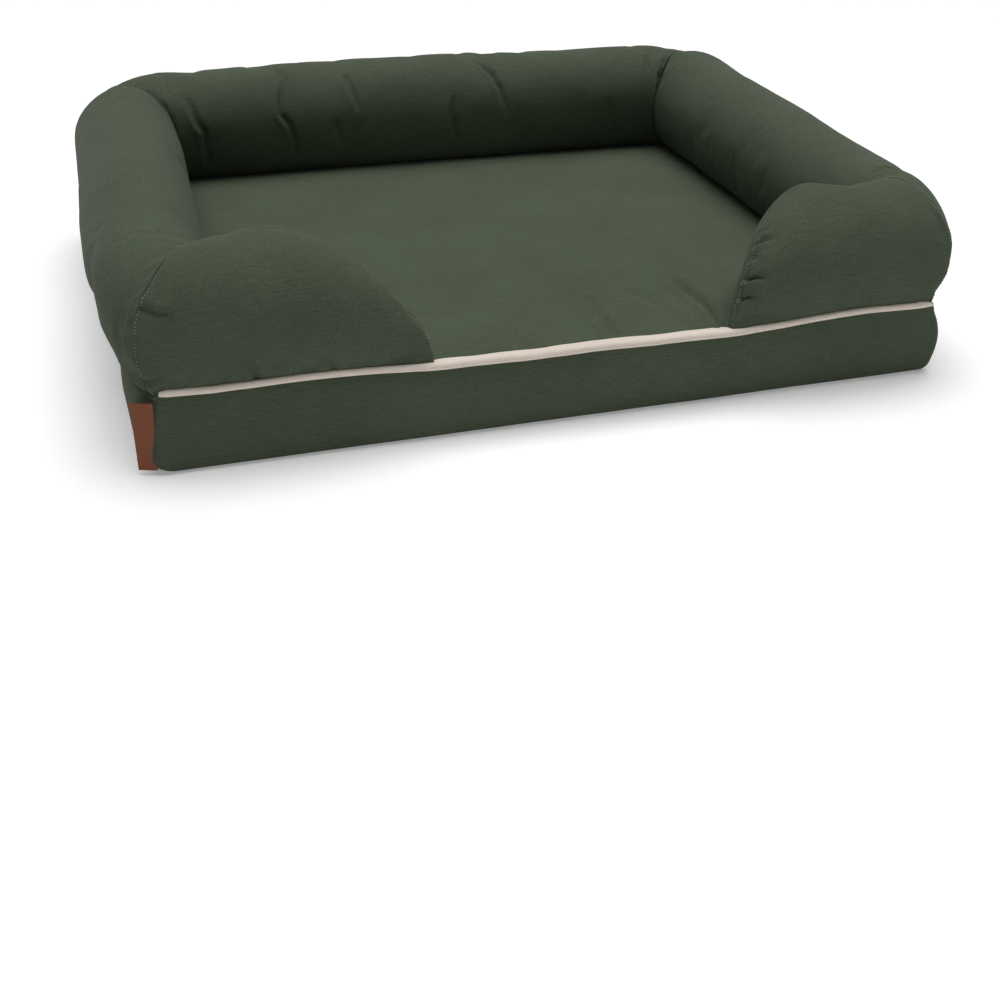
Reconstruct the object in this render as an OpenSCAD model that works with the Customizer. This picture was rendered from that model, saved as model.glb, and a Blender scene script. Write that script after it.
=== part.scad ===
// Dog sofa bed. A boxed foam base in a zipped cover carries a stuffed bolster that runs round
// the back and both sides and ends in two short rounded returns at the front.
// Millimetres. +X is the bed's right seen from the front, +Y its back, +Z up.
// The origin is the middle of the underside.

/* [Base] */
// Width of the boxed base
base_w = 930; // [760:5:1150]
// Depth of the boxed base
base_d = 765; // [620:5:950]
// Height of the boxed base
base_h = 93; // [75:1:130]
// Rounding of the base's lower edges
base_edge_r = 12; // [8:1:26]
// How far the front and side bands bulge
band_bulge = 5; // [0:0.5:9]
// Crown of the seat over its edges
seat_crown = 9; // [2:1:16]
// Thickness of the cover cloth
cloth_t = 1.6; // [1:0.1:2.4]

/* [Bolster] */
// Depth of the roll, from its inner line to its outer line
roll_w = 134; // [110:1:150]
// Height of the roll over the base
roll_h = 133; // [105:1:150]
// How far the roll hangs over the base at the sides
side_over = 35; // [15:1:45]
// How far the roll hangs over the base at the back
back_over = 35; // [15:1:45]
// How far the inner side of the roll tucks under
inner_tuck = 26; // [10:1:34]
// Rounding of the crease in each inner corner
crease_r = 6; // [3:0.5:12]
// How much the roll swells between its seams
roll_crown = 4; // [0:0.5:8]
// How far the mitred seams draw the roll down
seam_dip = 6; // [0:0.5:12]
// How far the roll fills out at its back corners
corner_fill = 8; // [0:1:14]
// How far the roll fills out at its front corners
front_corner_fill = 24; // [4:1:30]

/* [Front returns] */
// How far the returns hang over the front of the base
front_over = 12; // [7:0.5:20]
// Start of the rounded end, from the side of the base
return_crest_l = 142; // [130:1:190]
// Tip of the left return, from the side of the base
left_return_l = 304; // [260:1:340]
// Tip of the right return, from the side of the base
right_return_l = 274; // [250:1:340]
// Distance of the crest from the inner line at the rounded end
return_crest_d = 41; // [25:1:60]
// Height left at the tip
tip_h = 7; // [4:0.5:12]
// Depth left at the tip
tip_d = 12; // [8:0.5:20]

/* [Piping and tag] */
// Diameter of the piping
piping_d = 6.5; // [4.5:0.1:6.6]
// Diameter of the cord in the piping
cord_d = 4; // [2.5:0.1:4.2]
// How far the tag stands out of its seam
tag_w = 25; // [12:1:30]
// Height of the tag
tag_h = 77; // [30:1:80]
// Thickness of the tag
tag_t = 1.8; // [1:0.1:3]
// Height of the tag's lower edge over the floor
tag_rise = 8.5; // [4:0.5:12]
// Backward lean of the tag, in degrees
tag_lean = 15; // [0:1:40]

/* [Zip] */
// Length of the tooth chain
zip_l = 760; // [600:4:860]
// Height of the zip over the floor
zip_z = 48; // [44:1:52]
// Pitch of the teeth
tooth_pitch = 4; // [3.6:0.1:6]
// Thickness of the teeth
tooth_t = 3; // [2:0.1:3.4]
// Reach of a tooth past the middle of the chain
tooth_reach = 1; // [0.6:0.1:1.2]
// Width of one tape
tape_w = 14; // [10:0.5:18]
// Thickness of a tape
tape_t = 0.8; // [0.5:0.1:1]
// Length of the slider
slider_l = 13; // [11:0.5:18]
// Width of the slider at its mouth
slider_w = 12; // [11.6:0.2:14]
// Wall of the slider
slider_wall = 1.3; // [0.8:0.1:1.8]
// Length of the pull from its pivot
pull_l = 27; // [18:1:40]
// Width of the pull
pull_w = 7.4; // [7:0.1:10]
// Thickness of the pull
pull_t = 1.2; // [0.9:0.1:1.4]

/* [Hidden] */
$fn = 48;
// Clearances: between sewn pieces, and for what slides or turns
fit = 0.3;
run_fit = 0.4;
cut_over = 1;

// Roll outline: points in the lower part, points in a quarter of the top, height of the widest line
low_n = 3;
top_n = 6;
mid_share = 0.5;
crest_j = low_n + top_n;
// How full the lower curves are: 1 is straight down, more sags further out over the edge
low_fullness = 1.8;
front_fullness = 1;
// Angle of the front mitred seams in plan
front_mitre = 229;
// Stations along the roll
bend_n = 4;
straight_n = 8;
approach_n = 2;
end_n = 7;

// Plan of the base
half_w = base_w / 2;
overall_d = base_d + back_over + roll_crown / 2 + front_over;
front_y = front_over - overall_d / 2;
rear_y = front_y + base_d;
seat_z = base_h + fit;

// Plan of the roll: its inner line, and the centres that its bends turn about
inner_x = half_w + side_over - roll_w;
inner_front_y = front_y - front_over + roll_w;
inner_back_y = rear_y + back_over - roll_w;
bend_x = inner_x - crease_r;
bend_front_y = inner_front_y + crease_r;
bend_back_y = inner_back_y - crease_r;

// The crown of the seat ends at the foot of the roll
crown_x = inner_x + inner_tuck;
crown_front_y = inner_front_y;
crown_back_y = inner_back_y + inner_tuck;
crown_power = 4;

// Shares that give the rounded ends their fall: height, depth, crest and overhang
fall_h_share = 0.7;
fall_d_share = 1.29;
return_tuck_share = 0.45;

// Bands: rows in the rounded edge, rows above it, columns along the band
edge_n = 4;
wall_n = 4;
band_n = 8;
// Seat and foam: columns and rows inside the crown
seat_nx = 10;
seat_ny = 8;
foam_edge_shares = [0, 0.3, 1];

// Zip: layers from the rear face inward, in the chain's own middle plane
spine_near = 2.2;
spine_w = 1.4;
tooth_root_w = 1.2;
tooth_head_w = 1.8;
chain_y = rear_y - cloth_t - fit - tape_t / 2;
slider_gap = tooth_t + 2 * run_fit;
slider_face_y = chain_y + slider_gap / 2 + slider_wall;
zip_room = rear_y - chain_y + slider_gap / 2 + slider_wall + run_fit;
slot_half = slider_w / 2 + run_fit + run_fit;
stop_l = 2.4;
stop_w = 1.6;
neck_l = 3.4;
neck_w = 2.8;
flange_w = 1;
slider_tail_w = 11;
slider_x = (zip_l - slider_l) / 2;
neck_x = slider_x + slider_l / 2 - neck_l;
chain_end_x = neck_x - run_fit;
bottom_stop_x = -zip_l / 2;

// Bridge of the slider and window of the pull
bridge_w = 2.6;
bridge_l = 9.2;
bridge_t = 1;
pin_r = 0.6;
pin_lift = 0.5;
window_w = bridge_w + 3 * run_fit;
window_l = 5.7;
pivot_y = slider_face_y + pin_lift + pin_r;
bridge_h = pin_lift + 2 * pin_r + pin_lift + bridge_t;
pull_hole_r = 1.4;

green = "#2f3f2f";
dark_green = "#263427";
cream = "#d9cdb4";
leather_brown = "#8a4a26";
stuffing = "#e8e4da";
foam_yellow = "#e3d6a8";
zip_grey = "#3a3d3a";

function mix(a, b, t) = a + (b - a) * t;
function direction(a) = [cos(a), sin(a)];
function left_of(a) = [-sin(a), cos(a)];

// Solids between sections. A section is a list of points; each runs the same way round.

function strip_faces(n, k, ring, base, flip) = [
    for (i = [0:n - 2])
        for (j = [0:ring - 1])
            let (
                a = base + i * k + j,
                b = base + i * k + (j + 1) % k,
                c = a + k,
                d = b + k
            )
            each flip ? [[a, c, d], [a, d, b]] : [[a, d, c], [a, b, d]]
];

// A filled solid: closed sections with a cap at each end
module filled(sections) {
    n = len(sections);
    k = len(sections[0]);
    last = (n - 1) * k;
    start_cap = [for (j = [1:k - 2]) [0, j + 1, j]];
    end_cap = [for (j = [1:k - 2]) [last, last + j, last + j + 1]];
    polyhedron(
        points = [for (s = sections) each s],
        faces = concat(strip_faces(n, k, k, 0, false), start_cap, end_cap)
    );
}

// A shell between an outer and an inner skin, closed round its edges.
// looped is true where each section is a ring, false where it is an open strip.
module shell(outer, inner, looped) {
    n = len(outer);
    k = len(outer[0]);
    size = n * k;
    ring = looped ? k : k - 1;
    start_edge = [
        for (j = [0:ring - 1])
            let (b = (j + 1) % k)
            each [[j, size + j, size + b], [j, size + b, b]]
    ];
    end_edge = [
        for (j = [0:ring - 1])
            let (a = (n - 1) * k + j, b = (n - 1) * k + (j + 1) % k)
            each [[a, b, size + b], [a, size + b, size + a]]
    ];
    near_edge = looped ? [] : [
        for (i = [0:n - 2])
            let (a = i * k, b = a + k)
            each [[a, b, size + b], [a, size + b, size + a]]
    ];
    far_edge = looped ? [] : [
        for (i = [0:n - 2])
            let (a = i * k + k - 1, b = a + k)
            each [[a, size + a, size + b], [a, size + b, b]]
    ];
    polyhedron(
        points = concat([for (s = outer) each s], [for (s = inner) each s]),
        faces = concat(
            strip_faces(n, k, ring, 0, false),
            strip_faces(n, k, ring, size, true),
            start_edge, end_edge, near_edge, far_edge
        )
    );
}

// The roll. A station holds its place, its outward angle, and the size of its outline there.
// In an outline, u runs outward from the inner line and v runs up from the base.

function roll_outline(depth, height, crest, foot, tuck, fullness) =
    let (mid = height * mid_share)
    concat(
        [for (j = [0:low_n - 1])
            let (t = j / low_n)
            [depth - (depth - foot) * pow(1 - t, 2), mid * pow(t, fullness)]],
        [for (j = [0:2 * top_n])
            let (a = 90 * j / top_n, reach = j < top_n ? depth - crest : crest)
            [crest + reach * cos(a), mid + (height - mid) * sin(a)]],
        [for (j = [low_n - 1:-1:0])
            let (t = j / low_n)
            [tuck * pow(1 - t, 2), mid * pow(t, low_fullness)]]
    );

function station(place, angle, depth, height, crest, foot, tuck, fullness) =
    [place, angle, depth, height, crest, foot, tuck, fullness];

// The section of a station, set in from the outside of the cloth
function section(s, inset) =
    let (
        outline = roll_outline(
            s[2] - 2 * inset, s[3] - 2 * inset, s[4] - inset, s[5] - 2 * inset, s[6], s[7])
    )
    [for (p = outline)
        let (q = s[0] + direction(s[1]) * (crease_r + p[0] + inset))
        [q[0], q[1], seat_z + p[1] + inset]];

function sections(stations, inset) = [for (s = stations) section(s, inset)];

// The cut of one panel out of each section, from point j0 to point j1
function cut_panel(rings, j0, j1) = [
    for (r = rings) [for (j = [j0:j1]) r[j % len(r)]]
];

// Distance from a bend's centre to the edge of the base, along an angle
function edge_reach(angle, to_side, to_end) =
    min(to_side / max(abs(cos(angle)), 1e-6), to_end / max(abs(sin(angle)), 1e-6));

side_reach = half_w - bend_x;
back_reach = rear_y - bend_back_y;
front_reach = bend_front_y - front_y;

// A station in a bend; seam runs from 0 where the roll is straight to 1 at the mitred seam
function bend_station(centre, angle, seam, end_reach, side, fill, fullness) =
    let (
        pull_in = seam * seam,
        depth = roll_w + fill * pull_in,
        height = roll_h - seam_dip * pull_in,
        gap = seam == 1 ? side * fit / 2 : 0
    )
    station(
        centre + left_of(angle) * gap, angle, depth, height, depth / 2,
        edge_reach(angle, side_reach, end_reach) - crease_r, inner_tuck, fullness
    );

function straight_station(a, b, t, angle, over) =
    let (swell = roll_crown * sin(180 * t))
    station(
        mix(a, b, t), angle, roll_w + swell / 2, roll_h + swell, roll_w / 2,
        roll_w - over, inner_tuck, low_fullness
    );

function bend_run(centre, a0, a1, leaving, end_reach, fill, end_fullness) = [
    for (i = [0:bend_n])
        let (t = i / bend_n)
        bend_station(
            centre, mix(a0, a1, t), leaving ? 1 - t : t, end_reach, leaving ? 1 : -1,
            fill, mix(low_fullness, end_fullness, t))
];

function straight_run(a, b, angle, over) = [
    for (i = [1:straight_n - 1]) straight_station(a, b, i / straight_n, angle, over)
];

back_left = [-bend_x, bend_back_y];
back_right = [bend_x, bend_back_y];
front_left = [-bend_x, bend_front_y];

back_stations = concat(
    bend_run(back_right, 45, 90, true, back_reach, corner_fill, low_fullness),
    straight_run(back_right, back_left, 90, back_over),
    bend_run(back_left, 90, 135, false, back_reach, corner_fill, low_fullness)
);

arm_stations = concat(
    bend_run(back_left, 135, 180, true, back_reach, corner_fill, low_fullness),
    straight_run(back_left, front_left, 180, side_over),
    bend_run(
        front_left, 180, front_mitre, false, front_reach, front_corner_fill, low_fullness)
);

// A station of a front return, which keeps its front on the line of the overhang
function return_station(x, depth, height, crest, over, tuck) =
    station(
        [x, front_y - over + depth + crease_r], 270, depth, height, crest, depth - over, tuck,
        front_fullness);

function return_stations(tip_l) =
    let (
        crest_x = return_crest_l - half_w,
        tip_x = tip_l - half_w,
        start_tuck = inner_tuck,
        end_tuck = inner_tuck * return_tuck_share
    )
    concat(
        bend_run(
            front_left, front_mitre, 270, true, front_reach, front_corner_fill, front_fullness),
        [for (i = [1:approach_n])
            let (t = i / approach_n)
            return_station(
                mix(-bend_x, crest_x, t), roll_w, roll_h,
                mix(roll_w / 2, return_crest_d, t), front_over, mix(start_tuck, end_tuck, t))],
        [for (i = [1:end_n])
            let (
                t = sin(90 * i / end_n),
                fall_h = pow(1 - t * t, fall_h_share),
                fall_d = pow(1 - t * t, fall_d_share)
            )
            return_station(
                mix(crest_x, tip_x, t),
                mix(tip_d, roll_w, fall_d),
                mix(tip_h, roll_h, fall_h),
                mix(tip_d / 2, return_crest_d, fall_d),
                front_over * fall_d,
                end_tuck * fall_d)]
    );

module roll_cover(stations) {
    shell(sections(stations, 0), sections(stations, cloth_t), true);
}

module roll_fill(stations) {
    filled(sections(stations, cloth_t + fit));
}

// The stuffing stops short of the flat tip
module return_fill(tip_l) {
    stations = return_stations(tip_l);
    roll_fill([for (i = [0:len(stations) - 2]) stations[i]]);
}

module return_panel(tip_l, j0, j1) {
    stations = return_stations(tip_l);
    shell(
        cut_panel(sections(stations, 0), j0, j1),
        cut_panel(sections(stations, cloth_t), j0, j1),
        false
    );
}

outline_n = 2 * low_n + 2 * top_n + 1;

module back_bolster_cover() color(green) roll_cover(back_stations);
module left_arm_cover() color(green) roll_cover(arm_stations);
module right_arm_cover() color(green) mirror([1, 0, 0]) roll_cover(arm_stations);

module back_bolster_fill() color(stuffing) roll_fill(back_stations);
module left_arm_fill() color(stuffing) roll_fill(arm_stations);
module right_arm_fill() color(stuffing) mirror([1, 0, 0]) roll_fill(arm_stations);

module left_return_front_panel() color(green) return_panel(left_return_l, 0, crest_j);
module left_return_rear_panel() color(dark_green) return_panel(left_return_l, crest_j, outline_n);
module left_return_fill() color(stuffing) return_fill(left_return_l);

module right_return_front_panel()
    color(green) mirror([1, 0, 0]) return_panel(right_return_l, 0, crest_j);
module right_return_rear_panel()
    color(dark_green) mirror([1, 0, 0]) return_panel(right_return_l, crest_j, outline_n);
module right_return_fill()
    color(stuffing) mirror([1, 0, 0]) return_fill(right_return_l);

// Seat and foam

function crown(x, y) =
    let (
        ux = min(abs(x) / crown_x, 1),
        middle = (crown_front_y + crown_back_y) / 2,
        reach = (crown_back_y - crown_front_y) / 2,
        uy = min(abs(y - middle) / reach, 1)
    )
    seat_crown * (1 - pow(ux, crown_power)) * (1 - pow(uy, crown_power));

crown_xs = [for (i = [0:seat_nx]) mix(crown_x, -crown_x, i / seat_nx)];
crown_ys = [for (i = [0:seat_ny]) mix(crown_front_y, crown_back_y, i / seat_ny)];

module seat_panel() {
    edge = half_w - cloth_t - fit;
    xs = concat([edge], crown_xs, [-edge]);
    ys = concat([front_y + cloth_t + fit], crown_ys, [rear_y - cloth_t - fit]);
    top = [for (y = ys) [for (x = xs) [x, y, base_h + crown(x, y)]]];
    under = [for (r = top) [for (p = r) p - [0, 0, cloth_t]]];
    color(green) shell(top, under, false);
}

// Lift of the foam's underside by the rounded lower edge of the cover
function edge_lift(e, r) = e >= r ? 0 : r - sqrt(r * r - (r - e) * (r - e));

module foam_slab() {
    inset = cloth_t + fit;
    side = half_w - inset;
    front = front_y + inset;
    rear = rear_y - zip_room;
    r = base_edge_r - inset;
    edges = [for (s = foam_edge_shares) s * r];
    xs = concat(
        [for (e = edges) side - e], crown_xs, [for (i = [len(edges) - 1:-1:0]) edges[i] - side]);
    ys = concat(
        [for (e = edges) front + e], crown_ys, [for (i = [len(edges) - 1:-1:0]) rear - edges[i]]);
    top = [for (y = ys) [for (x = xs) [x, y, base_h - inset + crown(x, y)]]];
    under = [for (y = ys) [for (x = xs)
        [x, y, inset + edge_lift(min(side - abs(x), y - front, rear - y), r)]]];
    color(foam_yellow) shell(top, under, false);
}

// Bands of the base cover. A row holds its set-in from the face and its height.

function edge_rows(inset) = [
    for (i = [0:edge_n])
        let (a = 90 * i / edge_n, r = base_edge_r - inset)
        [base_edge_r - r * sin(a), base_edge_r - r * cos(a)]
];

function wall_rows(inset, low, high, n) = [
    for (i = [1:n]) [inset, mix(low, high, i / n)]
];

function bulge_at(z) =
    z <= base_edge_r ? 0 : band_bulge * sin(180 * (z - base_edge_r) / (base_h - base_edge_r));

// A band from one mitred corner to the other, on the face that looks along an outward angle
module band(rows_out, rows_in, half_l, face, angle, middle, bulge) {
    along = -left_of(angle);
    function skin(rows) = [
        for (i = [0:band_n])
            let (t = mix(-1, 1, i / band_n))
            [for (r = rows)
                let (
                    out = face - r[0] + bulge * bulge_at(r[1]) * (1 - t * t),
                    q = middle + direction(angle) * out - along * ((half_l - r[0]) * t)
                )
                [q[0], q[1], r[1]]]
    ];
    shell(skin(rows_out), skin(rows_in), false);
}

full_rows_out = concat(edge_rows(0), wall_rows(0, base_edge_r, base_h, wall_n));
full_rows_in = concat(edge_rows(cloth_t), wall_rows(cloth_t, base_edge_r, base_h, wall_n));
middle_y = (front_y + rear_y) / 2;

module front_band() {
    color(green)
        band(full_rows_out, full_rows_in, half_w, -front_y, -90, [0, 0], 1);
}

module left_band() {
    color(green)
        band(full_rows_out, full_rows_in, base_d / 2, half_w, 180, [0, middle_y], 1);
}

module right_band() {
    color(green)
        band(full_rows_out, full_rows_in, base_d / 2, half_w, 0, [0, middle_y], 1);
}

module rear_band_upper() {
    low = zip_z + slot_half;
    color(green)
        band(
            concat([[0, low]], wall_rows(0, low, base_h, 1)),
            concat([[cloth_t, low]], wall_rows(cloth_t, low, base_h, 1)),
            half_w, rear_y, 90, [0, 0], 0
        );
}

module rear_band_lower() {
    high = zip_z - slot_half;
    color(green)
        band(
            concat(edge_rows(0), wall_rows(0, base_edge_r, high, 1)),
            concat(edge_rows(cloth_t), wall_rows(cloth_t, base_edge_r, high, 1)),
            half_w, rear_y, 90, [0, 0], 0
        );
}

module bottom_panel() {
    edge = base_edge_r + fit;
    color(dark_green)
        translate([edge - half_w, front_y + edge, 0])
            cube([base_w - 2 * edge, base_d - 2 * edge, cloth_t]);
}

// Piping and tag

piping_y = front_y - piping_d / 2 - fit;
piping_l = base_w - 2 * cloth_t;

module along_x(x, y, z, r, l) {
    translate([x - l / 2, y, z])
        rotate([0, 90, 0])
            cylinder(r = r, h = l);
}

module front_piping() {
    color(cream)
        difference() {
            along_x(0, piping_y, base_h, piping_d / 2, piping_l);
            along_x(0, piping_y, base_h, cord_d / 2 + fit / 2, piping_l + cut_over);
        }
}

module piping_cord() {
    color(cream) along_x(0, piping_y, base_h, cord_d / 2, piping_l);
}

module side_tag() {
    color(leather_brown)
        translate([-half_w - fit, front_y + base_edge_r / 2, tag_rise])
            rotate([0, 0, -tag_lean])
                translate([-tag_w, -tag_t / 2, 0])
                    cube([tag_w, tag_t, tag_h]);
}

// Zip, in the plane of its chain: x along the chain, z up from the zip's line

module zip_place() {
    translate([0, chain_y, zip_z]) rotate([90, 0, 0]) children();
}

// A flat piece of a given thickness, centred on the chain's middle plane
module chain_plate(t) {
    zip_place() translate([0, 0, -t / 2]) linear_extrude(height = t) children();
}

teeth_x0 = bottom_stop_x + stop_l + run_fit;
teeth_n = floor((chain_end_x - teeth_x0) / tooth_pitch - 0.5);

// One row of teeth as a comb: a spine on the tape, and teeth that widen towards their heads
module tooth_row(shift) {
    spine_far = spine_near + spine_w;
    points = concat(
        [[teeth_x0, spine_far], [teeth_x0, spine_near]],
        [for (i = [0:teeth_n - 1])
            let (x = teeth_x0 + tooth_pitch * (i + 0.25 + shift))
            each [
                [x - tooth_root_w / 2, spine_near],
                [x - tooth_head_w / 2, -tooth_reach],
                [x + tooth_head_w / 2, -tooth_reach],
                [x + tooth_root_w / 2, spine_near]
            ]],
        [[chain_end_x, spine_near], [chain_end_x, spine_far]]
    );
    polygon(points);
}

module zip_teeth_upper() color(zip_grey) chain_plate(tooth_t) tooth_row(0);
module zip_teeth_lower() color(zip_grey) chain_plate(tooth_t) mirror([0, 1]) tooth_row(0.5);

module tape_outline() {
    translate([-zip_l / 2 - tape_w, spine_near + spine_w])
        square([zip_l + 2 * tape_w, tape_w]);
}

module zip_tape_upper() color(zip_grey) chain_plate(tape_t) tape_outline();
module zip_tape_lower() color(zip_grey) chain_plate(tape_t) mirror([0, 1]) tape_outline();

module zip_top_stops() {
    stop_near = spine_near + spine_w - stop_w;
    color("silver")
        chain_plate(tooth_t)
            for (side = [0, 1])
                mirror([0, side])
                    translate([chain_end_x + fit, stop_near])
                        square([stop_l, stop_w]);
}

module zip_bottom_stop() {
    half = spine_near + spine_w;
    color("silver")
        chain_plate(tooth_t)
            translate([bottom_stop_x, -half])
                square([stop_l, 2 * half]);
}

module zip_end_patches() {
    inner = zip_l / 2 + stop_l;
    outer = half_w - cloth_t - fit;
    color(green)
        for (side = [0, 1])
            mirror([side, 0, 0])
                translate([inner, rear_y - cloth_t, zip_z - slot_half + fit])
                    cube([outer - inner, cloth_t, 2 * (slot_half - fit)]);
}

// Outline of a slider plate: wide at the mouth, where the neck parts the rows, narrow at the tail
module slider_outline() {
    r = slider_wall;
    shoulder = slider_x + slider_l / 2 - neck_l;
    polygon([
        [slider_x - slider_l / 2, -slider_tail_w / 2],
        [shoulder, -slider_w / 2],
        [slider_x + slider_l / 2 - r, -slider_w / 2],
        [slider_x + slider_l / 2, -slider_w / 2 + r],
        [slider_x + slider_l / 2, slider_w / 2 - r],
        [slider_x + slider_l / 2 - r, slider_w / 2],
        [shoulder, slider_w / 2],
        [slider_x - slider_l / 2, slider_tail_w / 2]
    ]);
}

module slider_flanges() {
    lip = (slider_gap - tape_t) / 2 - run_fit;
    for (side = [0, 1], face = [0, 1])
        zip_place()
            mirror([0, side, 0])
                mirror([0, 0, face])
                    translate([slider_x - slider_l / 2, slider_tail_w / 2 - flange_w, slider_gap / 2 - lip])
                        cube([slider_l - neck_l, flange_w, lip + slider_wall / 2]);
}

module slider_bridge() {
    foot = bridge_l / 2;
    translate([slider_x, slider_face_y, zip_z])
        difference() {
            translate([-foot, -slider_wall / 2, -bridge_w / 2])
                cube([bridge_l, bridge_h + slider_wall / 2, bridge_w]);
            translate([bridge_t - foot, 0, -bridge_w / 2 - cut_over])
                cube([bridge_l - 2 * bridge_t, bridge_h - bridge_t, bridge_w + 2 * cut_over]);
        }
}

module zip_slider() {
    plate_z = slider_gap / 2;
    color("silver")
        union() {
            for (face = [0, 1])
                zip_place()
                    mirror([0, 0, face])
                        translate([0, 0, plate_z])
                            linear_extrude(height = slider_wall) slider_outline();
            zip_place()
                translate([neck_x, 0, -plate_z - slider_wall / 2])
                    linear_extrude(height = 2 * plate_z + slider_wall)
                        polygon([[0, 0], [neck_l / 2, -neck_w / 2], [neck_l, 0], [neck_l / 2, neck_w / 2]]);
            slider_flanges();
            slider_bridge();
        }
}

module zip_pull() {
    tab_r = pull_w / 2;
    color("silver")
        translate([slider_x, pivot_y, zip_z]) {
            rotate([90, 0, 0])
                translate([0, 0, -pull_t / 2])
                    linear_extrude(height = pull_t)
                        difference() {
                            union() {
                                translate([tab_r - pull_l, -tab_r]) square([pull_l - tab_r, pull_w]);
                                translate([tab_r - pull_l, 0]) circle(r = tab_r);
                            }
                            translate([-window_l, -window_w / 2]) square([window_l + cut_over, window_w]);
                            translate([tab_r - pull_l, 0]) circle(r = pull_hole_r);
                        }
            translate([0, 0, -tab_r]) cylinder(r = pin_r, h = pull_w);
        }
}

foam_slab();
seat_panel();
front_band();
left_band();
right_band();
rear_band_upper();
rear_band_lower();
bottom_panel();
front_piping();
piping_cord();
side_tag();
back_bolster_cover();
left_arm_cover();
right_arm_cover();
back_bolster_fill();
left_arm_fill();
right_arm_fill();
left_return_front_panel();
left_return_rear_panel();
left_return_fill();
right_return_front_panel();
right_return_rear_panel();
right_return_fill();
zip_tape_upper();
zip_tape_lower();
zip_teeth_upper();
zip_teeth_lower();
zip_top_stops();
zip_bottom_stop();
zip_end_patches();
zip_slider();
zip_pull();
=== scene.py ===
import math

import bmesh
import bpy
import numpy as np
from mathutils import Matrix, Vector, noise


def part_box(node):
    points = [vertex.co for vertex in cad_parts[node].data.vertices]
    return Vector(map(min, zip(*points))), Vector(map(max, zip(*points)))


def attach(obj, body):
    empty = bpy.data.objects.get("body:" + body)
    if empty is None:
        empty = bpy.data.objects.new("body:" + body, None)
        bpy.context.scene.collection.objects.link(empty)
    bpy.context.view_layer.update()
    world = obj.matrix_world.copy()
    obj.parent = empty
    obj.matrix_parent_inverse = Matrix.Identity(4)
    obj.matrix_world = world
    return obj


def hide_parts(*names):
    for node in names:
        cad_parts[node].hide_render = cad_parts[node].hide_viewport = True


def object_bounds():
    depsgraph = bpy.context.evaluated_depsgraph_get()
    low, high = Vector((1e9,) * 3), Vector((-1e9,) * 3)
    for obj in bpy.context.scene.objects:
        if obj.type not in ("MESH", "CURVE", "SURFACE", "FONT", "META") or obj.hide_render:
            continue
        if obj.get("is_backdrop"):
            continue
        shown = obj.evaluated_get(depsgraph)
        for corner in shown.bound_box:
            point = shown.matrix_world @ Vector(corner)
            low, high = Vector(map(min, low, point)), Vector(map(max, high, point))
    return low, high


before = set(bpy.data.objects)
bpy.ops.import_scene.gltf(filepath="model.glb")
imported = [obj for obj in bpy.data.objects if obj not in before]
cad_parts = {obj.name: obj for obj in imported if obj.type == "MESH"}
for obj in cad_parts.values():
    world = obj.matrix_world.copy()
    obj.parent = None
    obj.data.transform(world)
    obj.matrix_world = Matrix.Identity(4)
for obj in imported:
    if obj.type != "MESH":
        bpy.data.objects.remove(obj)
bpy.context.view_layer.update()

mm = 0.001

# lines of the base, as the frame has them
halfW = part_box("front_band")[1].x
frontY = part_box("left_band")[0].y
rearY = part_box("rear_band_upper")[1].y
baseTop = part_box("rear_band_upper")[1].z
clothT = 1.6 * mm


# camera: the photograph's own place and turn, from the straight edges of the base

cameraSet = {
    "azimuth": -17.464, "elevation": 30.020, "roll": 1.040,
    "place": (-0.5742, -1.5397, 0.8338),  # in widths of the base, from the middle of its front edge
    "focal": 1.500,  # in widths of the picture
    "sensor": 36, "clip": (0.05, 60),
}


def makeCamera(c):
    a, e, r = (math.radians(c[k]) for k in ("azimuth", "elevation", "roll"))
    back = Vector((math.sin(a) * math.cos(e), -math.cos(a) * math.cos(e), math.sin(e)))
    right = (-back).cross(Vector((0, 0, 1))).normalized()
    up = right.cross(-back)
    right, up = (math.cos(r) * right + math.sin(r) * up, math.cos(r) * up - math.sin(r) * right)
    data = bpy.data.cameras.new("photoCamera")
    camera = bpy.data.objects.new("photoCamera", data)
    bpy.context.scene.collection.objects.link(camera)
    place = Vector(c["place"]) * 2 * halfW + Vector((0, frontY, 0))
    camera.matrix_world = Matrix.Translation(place) @ Matrix((right, up, back)).transposed().to_4x4()
    data.sensor_width = c["sensor"]
    data.lens = c["sensor"] * c["focal"]
    data.clip_start, data.clip_end = c["clip"]
    bpy.context.scene.camera = camera


makeCamera(cameraSet)


# shader maths: a Wire holds one socket, and its operators add nodes

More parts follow.
